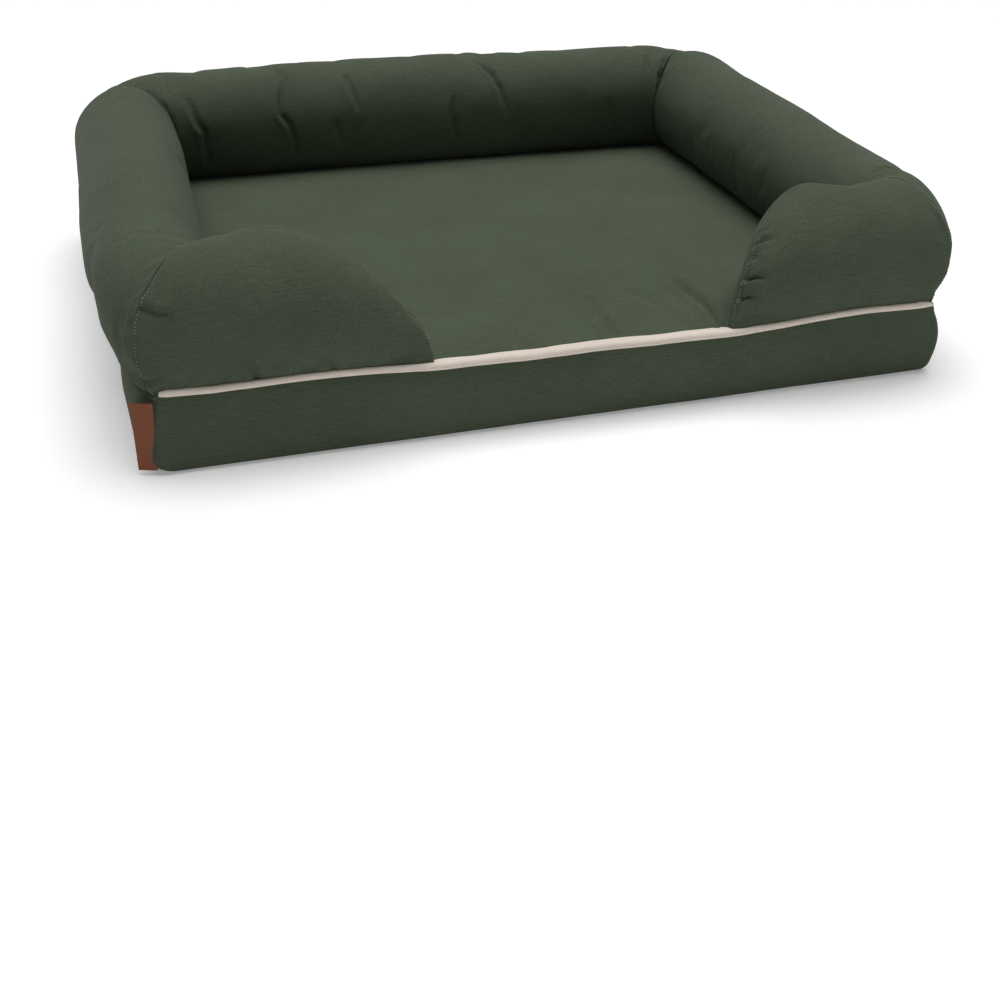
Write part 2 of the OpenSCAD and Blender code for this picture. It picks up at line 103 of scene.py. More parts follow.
class Wire:
    def __init__(self, tree, socket=None):
        self.tree, self.socket = tree, socket

    def add(self, kind, settings=None, inputs=None, out=0):
        node = self.tree.nodes.new(kind)
        for key, value in (settings or {}).items():
            setattr(node, key, value)
        for key, value in (inputs or {}).items():
            plug = node.inputs[key]
            if isinstance(value, Wire):
                self.tree.links.new(value.socket, plug)
            elif hasattr(value, "__len__") and plug.type == "RGBA" and len(value) == 3:
                plug.default_value = (*value, 1)
            else:
                plug.default_value = value
        return Wire(self.tree, node.outputs[out] if node.outputs else None)

    def maths(self, operation, *values):
        return self.add("ShaderNodeMath", {"operation": operation}, dict(enumerate(values)))

    def __add__(self, other):
        return self.maths("ADD", self, other)

    def __radd__(self, other):
        return self.maths("ADD", other, self)

    def __sub__(self, other):
        return self.maths("SUBTRACT", self, other)

    def __rsub__(self, other):
        return self.maths("SUBTRACT", other, self)

    def __mul__(self, other):
        return self.maths("MULTIPLY", self, other)

    def __rmul__(self, other):
        return self.maths("MULTIPLY", other, self)

    def sine(self):
        return self.maths("SINE", self)

    def clamped(self, low, high):
        return self.maths("MINIMUM", self.maths("MAXIMUM", self, low), high)

    def scaled(self, vector, by):
        return self.add("ShaderNodeVectorMath", {"operation": "MULTIPLY"}, {0: vector, 1: by})

    def parts(self, vector):
        first = self.add("ShaderNodeSeparateXYZ", None, {0: vector})
        return [Wire(self.tree, o) for o in first.socket.node.outputs]

    def grain(self, vector, scale, detail=2.0, rough=0.5):
        return self.add("ShaderNodeTexNoise", None,
                        {"Vector": vector, "Scale": scale, "Detail": detail, "Roughness": rough})

    def tinted(self, share, dark, light):
        return self.add("ShaderNodeMix", {"data_type": "RGBA", "clamp_factor": True},
                        {0: share, 6: dark, 7: light}, out=2)

    def shaded(self, share, colour, low, high):
        # one colour, from low to high times its value
        return self.tinted(share, tuple(c * low for c in colour), tuple(c * high for c in colour))

    def onCloth(self):
        return self.add("ShaderNodeAttribute", {"attribute_name": "clothPlace"}, None, out=1)

    def onObject(self):
        return self.add("ShaderNodeTexCoord", None, None, out=3)


def newMaterial(name):
    material = bpy.data.materials.new(name)
    material.use_nodes = True
    material.node_tree.nodes.clear()
    return material, Wire(material.node_tree)


def finishMaterial(w, colour, rough, height, bump, deep, fixed=None):
    # the height bends the light by a share (bump) of its depth in metres (deep)
    normal = w.add("ShaderNodeBump", None, {"Strength": bump, "Distance": deep, "Height": height})
    shader = w.add("ShaderNodeBsdfPrincipled", None,
                   {"Base Color": colour, "Roughness": rough, "Normal": normal, **(fixed or {})})
    w.add("ShaderNodeOutputMaterial", None, {"Surface": shader})


coverCloth = {
    "colour": (0.069, 0.089, 0.057),
    "pitch": 1.1 * mm,  # of the weave
    "sheen": 0.03, "lint": 0.6,
}
# how fine the noises of the yarn are along and across the cloth
yarns = {"weft": (110, 900, 0), "warp": (900, 150, 0), "streaks": (38, 420, 0)}


def wovenCloth(name, c, weaveBump=0.35, slub=0.10, cloud=0.08):
    material, w = newMaterial(name)
    place = w.onCloth()
    x, y, _ = w.parts(place)
    # plain weave: a hump wherever a thread passes over the one that crosses it
    turn = math.pi / c["pitch"]
    over = (x * turn).sine() * (y * turn).sine()
    # thick and thin yarn, which runs along each of the two directions
    weft = w.grain(w.scaled(place, yarns["weft"]), 1.0, 2.0)
    warp = w.grain(w.scaled(place, yarns["warp"]), 1.0, 2.0)
    yarn = (weft + warp) * 0.5
    streaks = w.grain(w.scaled(place, yarns["streaks"]), 1.0, 3.0, 0.6)
    specks = w.grain(place, 420, 2.0, 0.6)
    clouds = w.grain(place, 9, 3.0, 0.55)
    tone = 0.5 + (yarn - 0.5) * (slub * 12) + (specks - 0.5) * c.get("specks", 1.3) \
        + (streaks - 0.5) * c.get("streaks", 0.9) + (clouds - 0.5) * (cloud * 8)
    woven = w.shaded((tone + over * 0.06).clamped(0, 1), c["colour"], 0.70, 1.30)
    far = w.add("ShaderNodeTexVoronoi", {"feature": "F1"}, {"Vector": place, "Scale": 19})
    lint = ((0.014 - far) * 200).clamped(0, 1) * c.get("lint", 0.0)
    colour = w.tinted(lint, woven, (0.42, 0.43, 0.38))
    height = over * 0.5 + (yarn - 0.5) * 1.3 + (specks - 0.5) * 0.8
    finishMaterial(w, colour, 0.86 + (specks - 0.5) * 0.12, height, weaveBump, 0.35 * mm,
                   {"Sheen Weight": c["sheen"], "Sheen Roughness": 0.5, "Specular IOR Level": 0.15})
    return material


cloth = wovenCloth("coverCloth", coverCloth)
thread = wovenCloth("thread", {**coverCloth, "colour": (0.225, 0.25, 0.19), "pitch": 0.5 * mm, "lint": 0.0}, 0.2)
cream = wovenCloth("pipingCloth", {"colour": (0.80, 0.70, 0.61), "pitch": 0.8 * mm, "sheen": 0.1,
                                  "specks": 0.4, "streaks": 0.2}, 0.15, 0.03, 0.03)


# grids: a piece is an array of rows and columns of points, in metres

def gridFaces(rows, columns, ring=False, start=0):
    i, j = np.meshgrid(np.arange(rows - 1), np.arange(columns if ring else columns - 1), indexing="ij")
    i, j = i.ravel(), j.ravel()
    k = (j + 1) % columns
    return np.stack([i * columns + j, (i + 1) * columns + j, (i + 1) * columns + k, i * columns + k], 1) + start


def gridNormals(p, ring=False):
    along = np.gradient(p, axis=0)
    if ring:
        across = (np.roll(p, -1, axis=1) - np.roll(p, 1, axis=1)) / 2
    else:
        across = np.gradient(p, axis=1)
    n = np.cross(along, across)
    return n / np.maximum(np.linalg.norm(n, axis=2, keepdims=True), 1e-12)


def gridBorder(rows, columns):
    v = np.arange(rows * columns).reshape(rows, columns)
    return [*v[0], *v[1:, -1], *v[-1, -2::-1], *v[-2:0:-1, 0]]


def runLength(p, axis=0):
    # how far each point lies from the first one, along a line or along one way of a grid
    step = np.linalg.norm(np.diff(p, axis=axis), axis=-1)
    return np.concatenate([np.zeros_like(np.take(step, [0], axis)), np.cumsum(step, axis)], axis)


def pointsAt(where, steps, line):
    # the points at some lengths along a line
    return np.stack([np.interp(where, steps, line[:, k]) for k in range(3)], -1)


def clothPlaces(p):
    # how far each point lies along and across its own cloth, from its middle
    a, b = runLength(p), runLength(p, 1)
    a -= a[a.shape[0] // 2][None, :]
    b -= b[:, b.shape[1] // 2][:, None]
    return np.stack([b, a, np.zeros_like(a)], 2)


def makeMesh(name, points, faces, materials, places=None, slots=None):
    # takes the points as a grid or a list, and their places on the cloth in the same order
    mesh = bpy.data.meshes.new(name)
    mesh.from_pydata([tuple(p) for p in np.reshape(points, (-1, 3))], [], [tuple(int(v) for v in f) for f in faces])
    for m in materials:
        mesh.materials.append(m)
    if places is not None:
        mesh.attributes.new("clothPlace", "FLOAT_VECTOR", "POINT").data.foreach_set(
            "vector", np.asarray(places, np.float32).ravel())
    if slots is not None:
        mesh.polygons.foreach_set("material_index", np.asarray(slots, np.int32))
    mesh.polygons.foreach_set("use_smooth", [True] * len(mesh.polygons))
    mesh.update()
    obj = bpy.data.objects.new(name, mesh)
    bpy.context.scene.collection.objects.link(obj)
    return obj


def outward(obj):
    b = bmesh.new()
    b.from_mesh(obj.data)
    bmesh.ops.recalc_face_normals(b, faces=b.faces)
    b.to_mesh(obj.data)
    b.free()


def straightGrain(p, axis):
    # cloth cut straight: its threads run along an axis of the bed, and round the roll from the outer foot
    return np.stack([p[..., axis], runLength(p, 1), np.zeros(p.shape[:2])], 2)


def closedRoll(name, p, material, axis=0):
    # rings of points, closed at both ends
    n, k = p.shape[:2]
    faces = [*gridFaces(n, k, ring=True), range(k), range(n * k - k, n * k)]
    obj = makeMesh(name, p, faces, [material], straightGrain(p, axis))
    outward(obj)
    return obj


def fitted(obj, slotName, *nodes):
    # the piece stands for these nodes of the frame, and rides on the bed
    if nodes:
        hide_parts(*nodes)
    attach(obj, "bed")
    return obj


def sheetOf(obj, thickness, slotName, node):
    # a stretched sheet of cloth, whose thickness lies on its inner side
    m = obj.modifiers.new("clothThickness", "SOLIDIFY")
    m.thickness, m.offset = thickness, -1
    fitted(obj, slotName, node)


# shaping: heights over a surface, in millimetres, from places along and across it

def noiseAt(x, y, seed):
    flat = [noise.noise(Vector((a, b, seed))) for a, b in zip(x.ravel(), y.ravel())]
    return np.array(flat).reshape(x.shape)


def unit(x):
    # held between 0 and 1
    return np.clip(x, 0, 1)


def bell(x):
    # 1 at 0, which dies away to both sides
    return np.exp(-x ** 2)


def unevenness(x, y, seed, *layers):
    # soft noise; each layer has its height and its reach along and across
    return sum(tall * noiseAt(x / long, y / wide, seed + 2 * i) for i, (tall, long, wide) in enumerate(layers))


lipAt, lipWide = 1.7, 1.2  # in widths of a fold


def foldHeight(x, y, path, width, deep, lip=0.0):
    # a crease along a line of points, which fades at its ends; the lip stands on its left side
    path = np.array(path, float)
    lengths = np.linalg.norm(np.diff(path, axis=0), axis=1)
    total, done = lengths.sum(), 0.0
    best = np.full(x.shape, 1e9)
    side, share = np.zeros(x.shape), np.zeros(x.shape)
    for a, b, l in zip(path, path[1:], lengths):
        d = (b - a) / l
        t = np.clip((x - a[0]) * d[0] + (y - a[1]) * d[1], 0, l)
        dx, dy = x - (a[0] + d[0] * t), y - (a[1] + d[1] * t)
        dist = np.hypot(dx, dy)
        near = dist < best
        best = np.where(near, dist, best)
        side = np.where(near, np.sign(d[0] * dy - d[1] * dx), side)
        share = np.where(near, (done + t) / total, share)
        done += l
    fade = np.sqrt(unit(np.sin(np.pi * unit(share))))
    valley = -deep * bell(best / width)
    ridge = lip * bell((best * side - lipAt * width) / (lipWide * width))
    return (valley + ridge) * fade


def folded(height, x, y, folds, deepBy=1.0, lipBy=1.0):
    for path, width, deep, lip in folds:
        height = height + foldHeight(x, y, path, width, deep * deepBy, lip * lipBy)
    return height


def puckers(along, away, seed, spacing, tall, reach):
    # small gathers that start at a seam and die away from it
    rng = np.random.default_rng(seed)
    total, at, end = np.zeros(along.shape), along.min(), along.max()
    while at < end:
        at += spacing * rng.uniform(0.5, 1.6)
        size, wide = tall * rng.uniform(-1, 1), spacing * rng.uniform(0.12, 0.3)
        length, lean = reach * rng.uniform(0.4, 1.3), rng.uniform(-0.35, 0.35)
        total += size * bell((along - at - lean * away) / wide) * np.exp(-np.abs(away) / length)
    return total


# the roll: its outline is a lower outer curve, an arched top and a lower inner curve

roll = {
    "depth": 134 * mm, "height": 133 * mm, "tuck": 26 * mm,
    "sideOver": 35 * mm, "backOver": 35 * mm, "frontOver": 12 * mm,
    "creaseR": 6 * mm, "crown": 4 * mm, "seamDip": 6 * mm, "backFill": 8 * mm, "frontFill": 24 * mm,
    "crestL": 142 * mm, "leftL": 304 * mm, "rightL": 274 * mm,
    "crestD": 41 * mm, "tuckLeft": 0.45, "tipH": 7 * mm, "tipD": 12 * mm,
    "fallH": 0.7, "fallD": 1.29,  # how the rounded ends fall off in height and in depth
    "lowFull": 1.8, "frontFull": 1.0,  # fullness of the lower curves, 1 is straight down
    "frontMitre": 229,  # angle of the front mitred seams in plan
    "spacing": 3.2 * mm,
}
seatZ = baseTop + 0.3 * mm
lowN, topN, bendN, tipN = 26, 34, 36, 62  # rows of the outline's curves, and rings of a bend and a rounded end
innerX = halfW + roll["sideOver"] - roll["depth"]
innerFrontY = frontY - roll["frontOver"] + roll["depth"]
innerBackY = rearY + roll["backOver"] - roll["depth"]
bendX = innerX - roll["creaseR"]
bendFrontY = innerFrontY + roll["creaseR"]
bendBackY = innerBackY - roll["creaseR"]
# for the bends: from their middles to the base's edge, the seams' extra filling, and the lower curve at their ends
backBend = (rearY - bendBackY, roll["backFill"], roll["lowFull"])
frontBend = (bendFrontY - frontY, roll["frontFill"])

# the angle round the outline: -90 at the outer foot, 0 outermost, 90 on top, 180 innermost, 270 at the inner foot
lowT = np.arange(lowN) / lowN
ringAngle = np.concatenate([
    -np.degrees(np.arcsin(1 - lowT)),
    90 * np.arange(2 * topN + 1) / topN,
    180 + np.degrees(np.arcsin(1 - lowT[::-1])),
])
crestJ = lowN + topN
perDegree = 1.16  # millimetres of cloth to a degree


def ringAt(place, angle, depth, height, crest, foot, tuck, full):
    # one outline, upright and looking along the angle from a place on the inner line
    mid, step = height / 2, np.arange(2 * topN + 1)
    a = np.radians(90 * step / topN)
    u = np.concatenate([
        depth - (depth - foot) * (1 - lowT) ** 2,
        crest + np.where(step < topN, depth - crest, crest) * np.cos(a),
        tuck * (1 - lowT[::-1]) ** 2])
    v = np.concatenate([
        mid * lowT ** full, mid + (height - mid) * np.sin(a), mid * lowT[::-1] ** roll["lowFull"]])
    a, out = math.radians(angle), roll["creaseR"] + u
    return np.stack([place[0] + math.cos(a) * out, place[1] + math.sin(a) * out, seatZ + v], 1)


def edgeReach(angle, toSide, toEnd):
    a = math.radians(angle)
    return min(toSide / max(abs(math.cos(a)), 1e-6), toEnd / max(abs(math.sin(a)), 1e-6))


def bendRings(centre, a0, a1, leaving, toEnd, fill, endFull):
    rings = []
    for i in range(bendN + 1):
        t = (i / bendN) ** 1.4 if leaving else 1 - (1 - i / bendN) ** 1.4  # closer together at the seam
        seam = 1 - t if leaving else t
        angle = a0 + (a1 - a0) * t
        depth = roll["depth"] + fill * seam ** 2
        height = roll["height"] - roll["seamDip"] * seam ** 2
        foot = edgeReach(angle, halfW - bendX, toEnd) - roll["creaseR"]
        full = roll["lowFull"] + (endFull - roll["lowFull"]) * t
        rings.append(ringAt(centre, angle, depth, height, depth / 2, foot, roll["tuck"], full))
    return rings


def straightRings(a, b, angle, over):
    n = int(round(math.dist(a, b) / roll["spacing"]))
    rings = []
    for i in range(1, n):
        t = i / n
        swell = roll["crown"] * math.sin(math.pi * t)
        place = (a[0] + (b[0] - a[0]) * t, a[1] + (b[1] - a[1]) * t)
        rings.append(ringAt(place, angle, roll["depth"] + swell / 2, roll["height"] + swell,
                            roll["depth"] / 2, roll["depth"] - over, roll["tuck"], roll["lowFull"]))
    return rings


def returnRings(length):
    front = (-bendX, bendFrontY)
    rings = bendRings(front, roll["frontMitre"], 270, True, *frontBend, roll["frontFull"])
    crestX, tipX = roll["crestL"] - halfW, length - halfW
    endTuck = roll["tuck"] * roll["tuckLeft"]

    def outline(x, depth, height, crest, over, tuck):
        place = (x, frontY - over + depth + roll["creaseR"])
        return ringAt(place, 270, depth, height, crest, depth - over, tuck, roll["frontFull"])

    n = int(round((crestX + bendX) / roll["spacing"]))
    for i in range(1, n + 1):
        t = i / n
        crest = roll["depth"] / 2 * (1 - t) + roll["crestD"] * t
        rings.append(outline(-bendX + (crestX + bendX) * t, roll["depth"], roll["height"], crest,
                             roll["frontOver"], roll["tuck"] * (1 - t) + endTuck * t))
    for i in range(1, tipN + 1):
        t = math.sin(math.pi / 2 * i / tipN)
        fallH, fallD = (1 - t * t) ** roll["fallH"], (1 - t * t) ** roll["fallD"]
        depth = roll["tipD"] + (roll["depth"] - roll["tipD"]) * fallD
        height = roll["tipH"] + (roll["height"] - roll["tipH"]) * fallH
        crest = roll["tipD"] / 2 + (roll["crestD"] - roll["tipD"] / 2) * fallD
        rings.append(outline(crestX + (tipX - crestX) * t, depth, height, crest,
                             roll["frontOver"] * fallD, endTuck * fallD))
    return np.array(rings)


def swept(p):
    # millimetres along the roll, taken on its top, and millimetres across from the top
    s = runLength(p[:, crestJ])[:, None] / mm
    return np.repeat(s, p.shape[1], 1), np.repeat((ringAngle[None, :] - 90) * perDegree, p.shape[0], 0)


def seamValley(away, deep, width):
    return -deep * np.exp(-np.abs(away) / width)


def ease(x, low, high):
    t = unit((x - low) / (high - low))
    return t * t * (3 - 2 * t)


# 0 on the outer side and the top of the roll, 1 on its inner side
innerSide = ease(ringAngle, 95, 150)[None, :]


def outNormals(p):
    # the normals of a roll, turned so that they look outward
    n = gridNormals(p, True)
    return n if ((p - p.mean(axis=1, keepdims=True)) * n).sum() > 0 else -n


def shapedRoll(p, height):
    hold = unit((ringAngle + 90) / 25) * unit((270 - ringAngle) / 25)
    return p + outNormals(p) * (height * hold[None, :] * mm)[:, :, None]


base = {
    "seatCrown": 9 * mm, "edgeR": 12 * mm, "bulge": 5 * mm, "cornerR": 9 * mm,
    "frontSlope": 90 * mm, "foldsEnd": 60 * mm,  # how far the edge's wave reaches in, and the folds fade at the sides
    "frontWave": [(-465, -1.5), (-411, -3.8), (-359, -2.4), (-307, -1.4), (-253, -1.8), (-199, -4.4), (-160, -6.8),
                  (-109, -6.4), (-41, -7.2), (29, -5.4), (89, -6.6), (137, -6.2), (193, -7.2), (249, -3.6),
                  (313, 1.0), (365, 3.4), (405, 2.6), (465, 1.6)],
}


def frontLift(x):
    # how far the front edge stands above or below its straight line, in metres
    at = np.array(base["frontWave"], float)
    fine = np.linspace(-465, 465, 187)
    rough = np.interp(fine, at[:, 0], at[:, 1])
    kernel = np.hanning(15)
    soft = np.convolve(np.pad(rough, 7, "edge"), kernel / kernel.sum(), "valid")
    return np.interp(np.asarray(x) / mm, fine, soft) * mm


settled = {
    "leftFront": 8 * mm, "leftBack": -9 * mm, "rightFront": -2 * mm, "rightBack": -5 * mm,  # outward
    # the next three are shares of the height, and then the places over which each of them begins
    "backUp": 0.036, "rightDown": 0.035, "leftReturnUp": 0.035,
    "backFrom": (0.18, 0.30), "rightFrom": (0.28, 0.36), "outFrom": (0.10, 0.36),
    "returnFront": (0.24, 0.31), "returnFrom": (0.08, 0.20), "returnTo": (0.36, 0.46),
    "lumps": {"backRight": (0.014, 0.40, 0.33, 0.07), "frontRight": (0.048, 0.41, -0.30, 0.09),
              "rightSide": (0.028, 0.47, 0.17, 0.11)},  # share of the height, place x and y, reach
    "leftSag": 5, "leftWaist": 14,  # mm that the left arm bags out at its front corner and is flat above that
    "cornerDroop": (-4 * mm, -2 * mm, -13 * mm), "droopAt": (-0.474, -0.372, 0.100), "droopReach": 0.038,
    "rightFootIn": 15 * mm, "leftFootIn": 9 * mm,  # the front feet follow the corners of the base
    "footAt": (0.465, -0.39), "footReach": 0.06,
}


seamTurn = {
    "backLeft": 15, "frontRight": 22,  # degrees
    "backReach": (0.080, 0.125), "backHigh": (0.005, 0.045),  # from the bend's middle and over the seat
    "frontReach": 0.080, "frontWide": 0.032, "frontHigh": (0.07, 0.11),
    "frontLeft": 10 * mm, "frontLeftAt": (-0.440, -0.362, 0.205), "frontLeftWide": 0.05,
}
quarter = math.pi / 2


def over(z, span):
    # eases from 0 to 1 between two heights over the seat
    return ease(z, seatZ + span[0], seatZ + span[1])


def slidRound(p, centreX, centreY, amount):
    # slides points round an upright line; amount takes their reach and angle, and gives each one's turn
    dx, dy = p[..., 0] - centreX, p[..., 1] - centreY
    reach, angle = np.hypot(dx, dy), np.arctan2(dy, dx)
    slide = amount(reach, angle)
    angle = angle + slide
    return np.stack([np.where(slide > 0, reach * np.cos(angle) + centreX, p[..., 0]),
                     np.where(slide > 0, reach * np.sin(angle) + centreY, p[..., 1]), p[..., 2]], -1)


def turnSeams(p):
    # slides the cloth along the bends: the back left seam leans forward outside, the front right one back on top
    c, z = seamTurn, p[..., 2]

    def backLeft(reach, angle):
        turn = math.radians(c["backLeft"]) * np.sin(np.pi * unit((angle - quarter) / quarter))
        return turn * (ease(reach, *c["backReach"]) * over(z, c["backHigh"]))

    def frontRight(reach, angle):
        turn = math.radians(c["frontRight"]) * np.sin(np.pi * unit(-angle / quarter))
        turn *= bell((reach - c["frontReach"]) / c["frontWide"])
        return turn * (over(z, c["frontHigh"]) * (angle > -quarter) * (angle < 0))

    p = slidRound(p, -bendX, bendBackY, backLeft)
    p = slidRound(p, bendX, bendFrontY, frontRight)
    a = math.radians(roll["frontMitre"])
    far = np.linalg.norm(p - np.array(c["frontLeftAt"]), axis=-1)
    moved = c["frontLeft"] * bell(far / c["frontLeftWide"])
    return p + moved[..., None] * np.array([-math.sin(a), math.cos(a), 0])


def settle(p):
    # how the stuffed roll lies: splayed at the front, a little higher at the back
    p = turnSeams(p)
    c = settled
    x, y, z = p[..., 0], p[..., 1], p[..., 2]
    back, up = ease(y, bendFrontY, bendBackY), ease(y, *c["backFrom"])
    left = c["leftFront"] * (1 - back) + c["leftBack"] * back
    right = c["rightFront"] * (1 - back) + c["rightBack"] * back
    lift = c["backUp"] * up - c["rightDown"] * ease(x, *c["rightFrom"]) * (1 - up)
    lift += c["leftReturnUp"] * ease(-y, *c["returnFront"]) * ease(-x, *c["returnFrom"]) * (
        1 - ease(-x, *c["returnTo"]))
    for share, atX, atY, reach in c["lumps"].values():
        lift += share * np.exp(-((x - atX) ** 2 + (y - atY) ** 2) / reach ** 2)
    high = over(z, (0, 0.05))
    out = np.where(x < 0, -left, right) * ease(np.abs(x), *c["outFrom"]) * high
    atX, atY = c["footAt"]
    foot = np.exp(-((np.abs(x) - atX) ** 2 + (y - atY) ** 2) / c["footReach"] ** 2) * (1 - over(z, (-0.002, 0.045)))
    out += foot * np.where(x < 0, c["leftFootIn"], -c["rightFootIn"])
    down = frontLift(x) * (1 - high) * ease(-y, -frontY - 0.10, -frontY - 0.01)
    droop = bell(np.linalg.norm(p - np.array(c["droopAt"]), axis=-1) / c["droopReach"])
    droop = droop[..., None] * np.array(c["cornerDroop"])
    return np.stack([x + out, y, seatZ + (z - seatZ) * (1 + lift) + down], -1) + droop


backFolds = [
    # millimetres along the bed from its middle and down the inner side from the top, then width, depth, lip
    ([(-203, 38), (-204, 49), (-208, 68), (-211, 86), (-201, 98), (-195, 109), (-192, 121), (-189, 140)],
     3.8, 6.0, 2.6),
    ([(-108, 36), (-107, 43), (-103, 61), (-97, 90)], 3.8, 4.6, 2.0),
    ([(-103, 104), (-103, 145)], 4.5, 3.2, 1.6),
    ([(-131, 98), (-129, 104), (-123, 126)], 4.5, 2.8, 1.4),
    ([(-64, 102), (-68, 132)], 5.0, 2.0, 1.2),
    ([(88, 20), (95, 28), (108, 49), (117, 74), (125, 106)], 3.8, 5.0, 2.4),
    ([(44, 78), (41, 101), (47, 121), (55, 138)], 4.2, 4.6, 2.0),
    ([(262, 24), (258, 55), (255, 88)], 5.0, 1.6, 1.0),
    ([(363, 26), (356, 58)], 4.0, 2.6, 1.4),
    ([(284, 90), (292, 112), (300, 138)], 5.0, 2.2, 1.2),
    ([(-343, 55), (-340, 61), (-333, 89), (-324, 101), (-323, 117), (-316, 140)], 4.0, 6.0, 3.2),
]


def bump(away, angle, atAway, wideAngle, wideAway):
    # a soft lump, at an angle round the roll and at millimetres from a seam
    return np.exp(-((ringAngle[None, :] - angle) / wideAngle) ** 2 - ((away - atAway) / wideAway) ** 2)


def frontRidge(away):
    # the right front seam stands up over the top
    return 2.4 * bump(away, 62, 0, 34, 5)


def sagging(away):
    # the roll bags out over the edge of the base at its front left corner
    return settled["leftSag"] * bump(away, -60, 24, 20, 22)


cornerSeam = {"left": (4.5, 11), "right": (6.5, 10)}  # how deep and wide the back seams are on the inner side


def buildBack():
    right, left = (bendX, bendBackY), (-bendX, bendBackY)
    p = np.array([
        *bendRings(right, 45, 90, True, *backBend),
        *straightRings(right, left, 90, roll["backOver"]),
        *bendRings(left, 90, 135, False, *backBend)])
    s, r = swept(p)
    away = s.max() - s  # from the left end
    x = s.max() / 2 - s  # 0 in the middle, + to the right
    ends = np.minimum(s, away)
    h = unevenness(x, r, 3, (2.0, 90, 70), (0.9, 34, 40))
    h += seamValley(ends, 1, 5) + seamValley(s, *cornerSeam["right"]) * innerSide
    h += seamValley(away, *cornerSeam["left"]) * innerSide
    h += puckers(r, ends, 11, 16, 1.0, 20) + puckers(x, r.max() - r, 12, 22, 1.5, 26)
    h = folded(h, x, r, backFolds, 1.15, 0.9) - 2.6 * bump(away, 50, 0, 28, 10)
    return settle(shapedRoll(p, h))


def frontSeam(fromSeam, r, seed, tall):
    # a flush mitred seam with small gathers, which are rounder and deeper at its foot
    h = seamValley(fromSeam, 0.7, 2.5) + puckers(r, fromSeam, seed, 13, 0.5, 15)
    foot = unit((-40 - r) / 60) * unit((r + 205) / 30)
    return h + foot * puckers(r, fromSeam, seed + 1, 13, tall, 17)


armFolds = [
    # millimetres from the front seam of the left arm and across from its top, then width, depth, lip
    ([(-8, -166), (4, -150), (14, -138), (26, -130)], 3.0, 9.0, 4.0),
    ([(-8, -174), (6, -163), (18, -153), (32, -147)], 3.0, 9.0, 4.0),
    ([(-6, -182), (8, -176), (22, -171)], 3.0, 7.0, 3.0),
]


def buildArm(mirrored):
    back, front = (-bendX, bendBackY), (-bendX, bendFrontY)
    p = np.array([
        *bendRings(back, 135, 180, True, *backBend),
        *straightRings(back, front, 180, roll["sideOver"]),
        *bendRings(front, 180, roll["frontMitre"], False, *frontBend, roll["lowFull"])])
    s, r = swept(p)
    away, seed = s.max() - s, 20 if mirrored else 10  # away from the front seam
    h = unevenness(s, r, seed + 3, (1.8, 110, 75), (0.35, 36, 40))
    h += seamValley(s, 1, 5) + seamValley(s, *cornerSeam["right" if mirrored else "left"]) * innerSide
    h += puckers(r, s, seed + 11, 16, 1.2, 20) + frontSeam(away, r, seed + 12, 1.0 if mirrored else 3.4)
    if mirrored:
        h += frontRidge(away) - 2.2 * bump(away, 60, 13, 34, 8)
        return settle(shapedRoll(p, h) * np.array([-1, 1, 1]))
    h += sagging(away) - settled["leftWaist"] * bump(away, -14, 88, 28, 34)
    h -= 9 * bump(s, 50, 18, 28, 16)  # flat beside the back seam
    return settle(shapedRoll(p, folded(h, away, r, armFolds)))


returnFolds = {
    # millimetres along the return and across from its top, then width, depth, lip
    "left": [([(-6, -69), (3, -75), (11, -81), (21, -86)], 3.2, 5.0, 1.6),
             ([(66, -206), (65, -167), (61, -136)], 4.5, 4.0, 1.4),
             ([(156, -206), (155, -172), (150, -140)], 4.5, 3.6, 1.2)],
    "right": [([(226, 4), (214, -14), (196, -34)], 3.6, 4.6, 2.4),
              ([(266, 2), (257, -40), (226, -78)], 3.6, 6.0, 3.2),
              ([(285, -10), (276, -64), (242, -104)], 3.6, 5.0, 2.8),
              ([(244, 2), (230, -32)], 3.5, 3.0, 1.6), ([(204, 2), (192, -18)], 3.5, 2.6, 1.4)],
}


def buildReturn(length, seed, mirrored):
    p = returnRings(length)
    s, r = swept(p)
    h = unevenness(s, r, seed, (1.6, 80, 60), (0.7, 30, 34))
    h += frontSeam(s, r, seed + 1, 1.0 if mirrored else 3.4)
    onArc = unit((s - 60) / 60)
    h += onArc * (seamValley(r, 2.2, 4) + puckers(s, r, seed + 3, 15, 1.7, 15))
    h += puckers(s, r - r.min() - 12, seed + 5, 24, 1.6, 16) * unit((-70 - r) / 40)
    h += frontRidge(s) if mirrored else sagging(0) * bell(s / 10)
    h = folded(h, s, r, returnFolds["right" if mirrored else "left"])
    p = shapedRoll(p, h * unit((s.max() - s) / 30))
    return settle(p * np.array([-1, 1, 1]) if mirrored else p)


# cloth simulation: each cover swells and gathers between its sewn edges

swelling = {
    "frames": 16, "every": 2,  # one of how many rows and columns is simulated
    "footHeld": 12,  # degrees from the feet over which the cloth comes free
    "cloth": {"vertex_group_mass": "sewn", "mass": 0.2, "quality": 6, "tension_stiffness": 15,
              "compression_stiffness": 15, "shear_stiffness": 5, "bending_stiffness": 0.6,
              "use_pressure": True, "uniform_pressure_force": 4.0, "shrink_min": -0.012},
}


def interpolated(values, at, wanted, axis):
    # linear, along one axis of a grid
    k = np.clip(np.searchsorted(at, wanted, side="right") - 1, 0, len(at) - 2)
    share = (wanted - at[k]) / (at[k + 1] - at[k])
    share = share.reshape([-1 if i == axis else 1 for i in range(values.ndim)])
    return np.take(values, k, axis) * (1 - share) + np.take(values, k + 1, axis) * share


